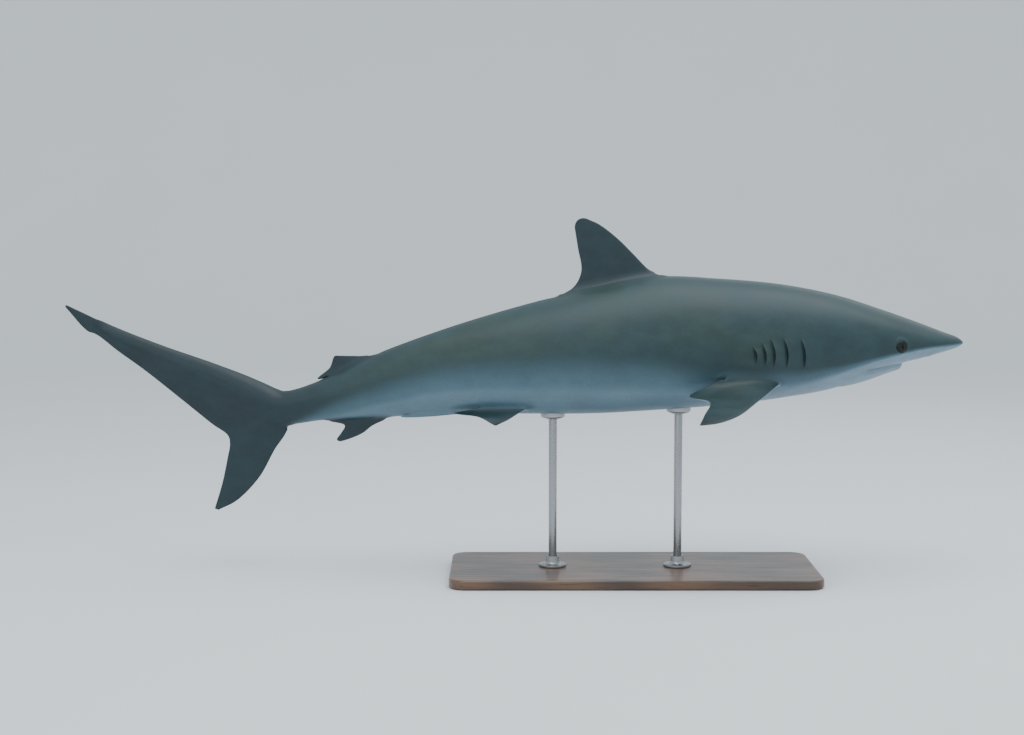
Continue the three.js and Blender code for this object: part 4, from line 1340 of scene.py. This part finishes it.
def make_stage():
    """Pale floor that bends up into a back wall."""
    floor = bpy.data.meshes.new("floor")
    bend, rear = FLOOR["bend"], FLOOR["rear"]
    profile = [(FLOOR["front"], 0.0)]
    for a in np.linspace(0, math.pi / 2, 25):
        profile.append((rear + bend * math.sin(a), bend * (1 - math.cos(a))))
    profile.append((rear + bend, FLOOR["wall"]))
    vertices = [(x, y, z) for y, z in profile for x in (-FLOOR["side"], FLOOR["side"])]
    faces = [(2 * i, 2 * i + 1, 2 * i + 3, 2 * i + 2) for i in range(len(profile) - 1)]
    floor.from_pydata(vertices, [], faces)
    floor.polygons.foreach_set("use_smooth", np.ones(len(faces), bool))
    m = Nodes("pale_floor")
    m.surface(Base_Color=m.mix(m.noise(1.5, 3), "floor_dark", "floor_light"), Roughness=0.7)
    floor.materials.append(m.material)
    put_in_scene("floor", floor)


def aim_at(item, where, target):
    """Places a lamp or the camera and turns it towards a point."""
    item.location = where
    item.rotation_euler = (Vector(target) - Vector(where)).to_track_quat("-Z", "Y").to_euler()


def light_scene():
    for name, where, aim, size, power, colour in LIGHTS:
        data = bpy.data.lights.new(name, "AREA")
        data.shape = "RECTANGLE"
        data.size, data.size_y = size
        data.energy = power
        data.color = colour
        aim_at(put_in_scene(name, data), where, aim)
    world = bpy.data.worlds.new("studio")
    world.use_nodes = True
    background = world.node_tree.nodes["Background"]
    background.inputs["Color"].default_value = SKY["colour"]
    background.inputs["Strength"].default_value = SKY["strength"]
    bpy.context.scene.world = world


def make_camera():
    target = Vector(place((VIEW["back"], 0, VIEW["rise"])) * MM)
    tilt = math.radians(VIEW["elevation"])
    data = bpy.data.cameras.new("camera")
    data.sensor_width = SENSOR_WIDTH
    data.lens = VIEW["focal"] / FRAME_WIDTH * data.sensor_width
    camera = put_in_scene("camera", data)
    aim_at(camera, target + VIEW["distance"] * Vector((0, -math.cos(tilt), math.sin(tilt))), target)
    bpy.context.scene.camera = camera


# ---- Assembly ----

FLESH = [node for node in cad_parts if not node.startswith(("stand_", "eye_"))]

make_camera()
skin = make_skin()
dress(skin, skin_material(), "skin", *FLESH)
eye_look = eye_material()
for side, node in ((1, "eye_left"), (-1, "eye_right")):
    dress(make_eye(side), eye_look, "eye", node)
steel = steel_material()
plain_at = np.linspace(26, 52, 60)
plain_turn = np.linspace(0, 2 * math.pi, 96, endpoint=False)
plain_body = ring_solid(skin_point(*np.meshgrid(plain_at, plain_turn, indexing="ij")))
for end, at in RODS.items():
    dress(make_rod(end, at), steel, "steel", f"stand_rod_{end}")
    dress(make_flange(end, at), steel, "steel", f"stand_flange_{end}")
    dress(make_cup(end, at, plain_body), steel, "steel", f"stand_cup_{end}")
dress(make_base(), wood_material(), "base_wood", "stand_base")
make_stage()
light_scene()
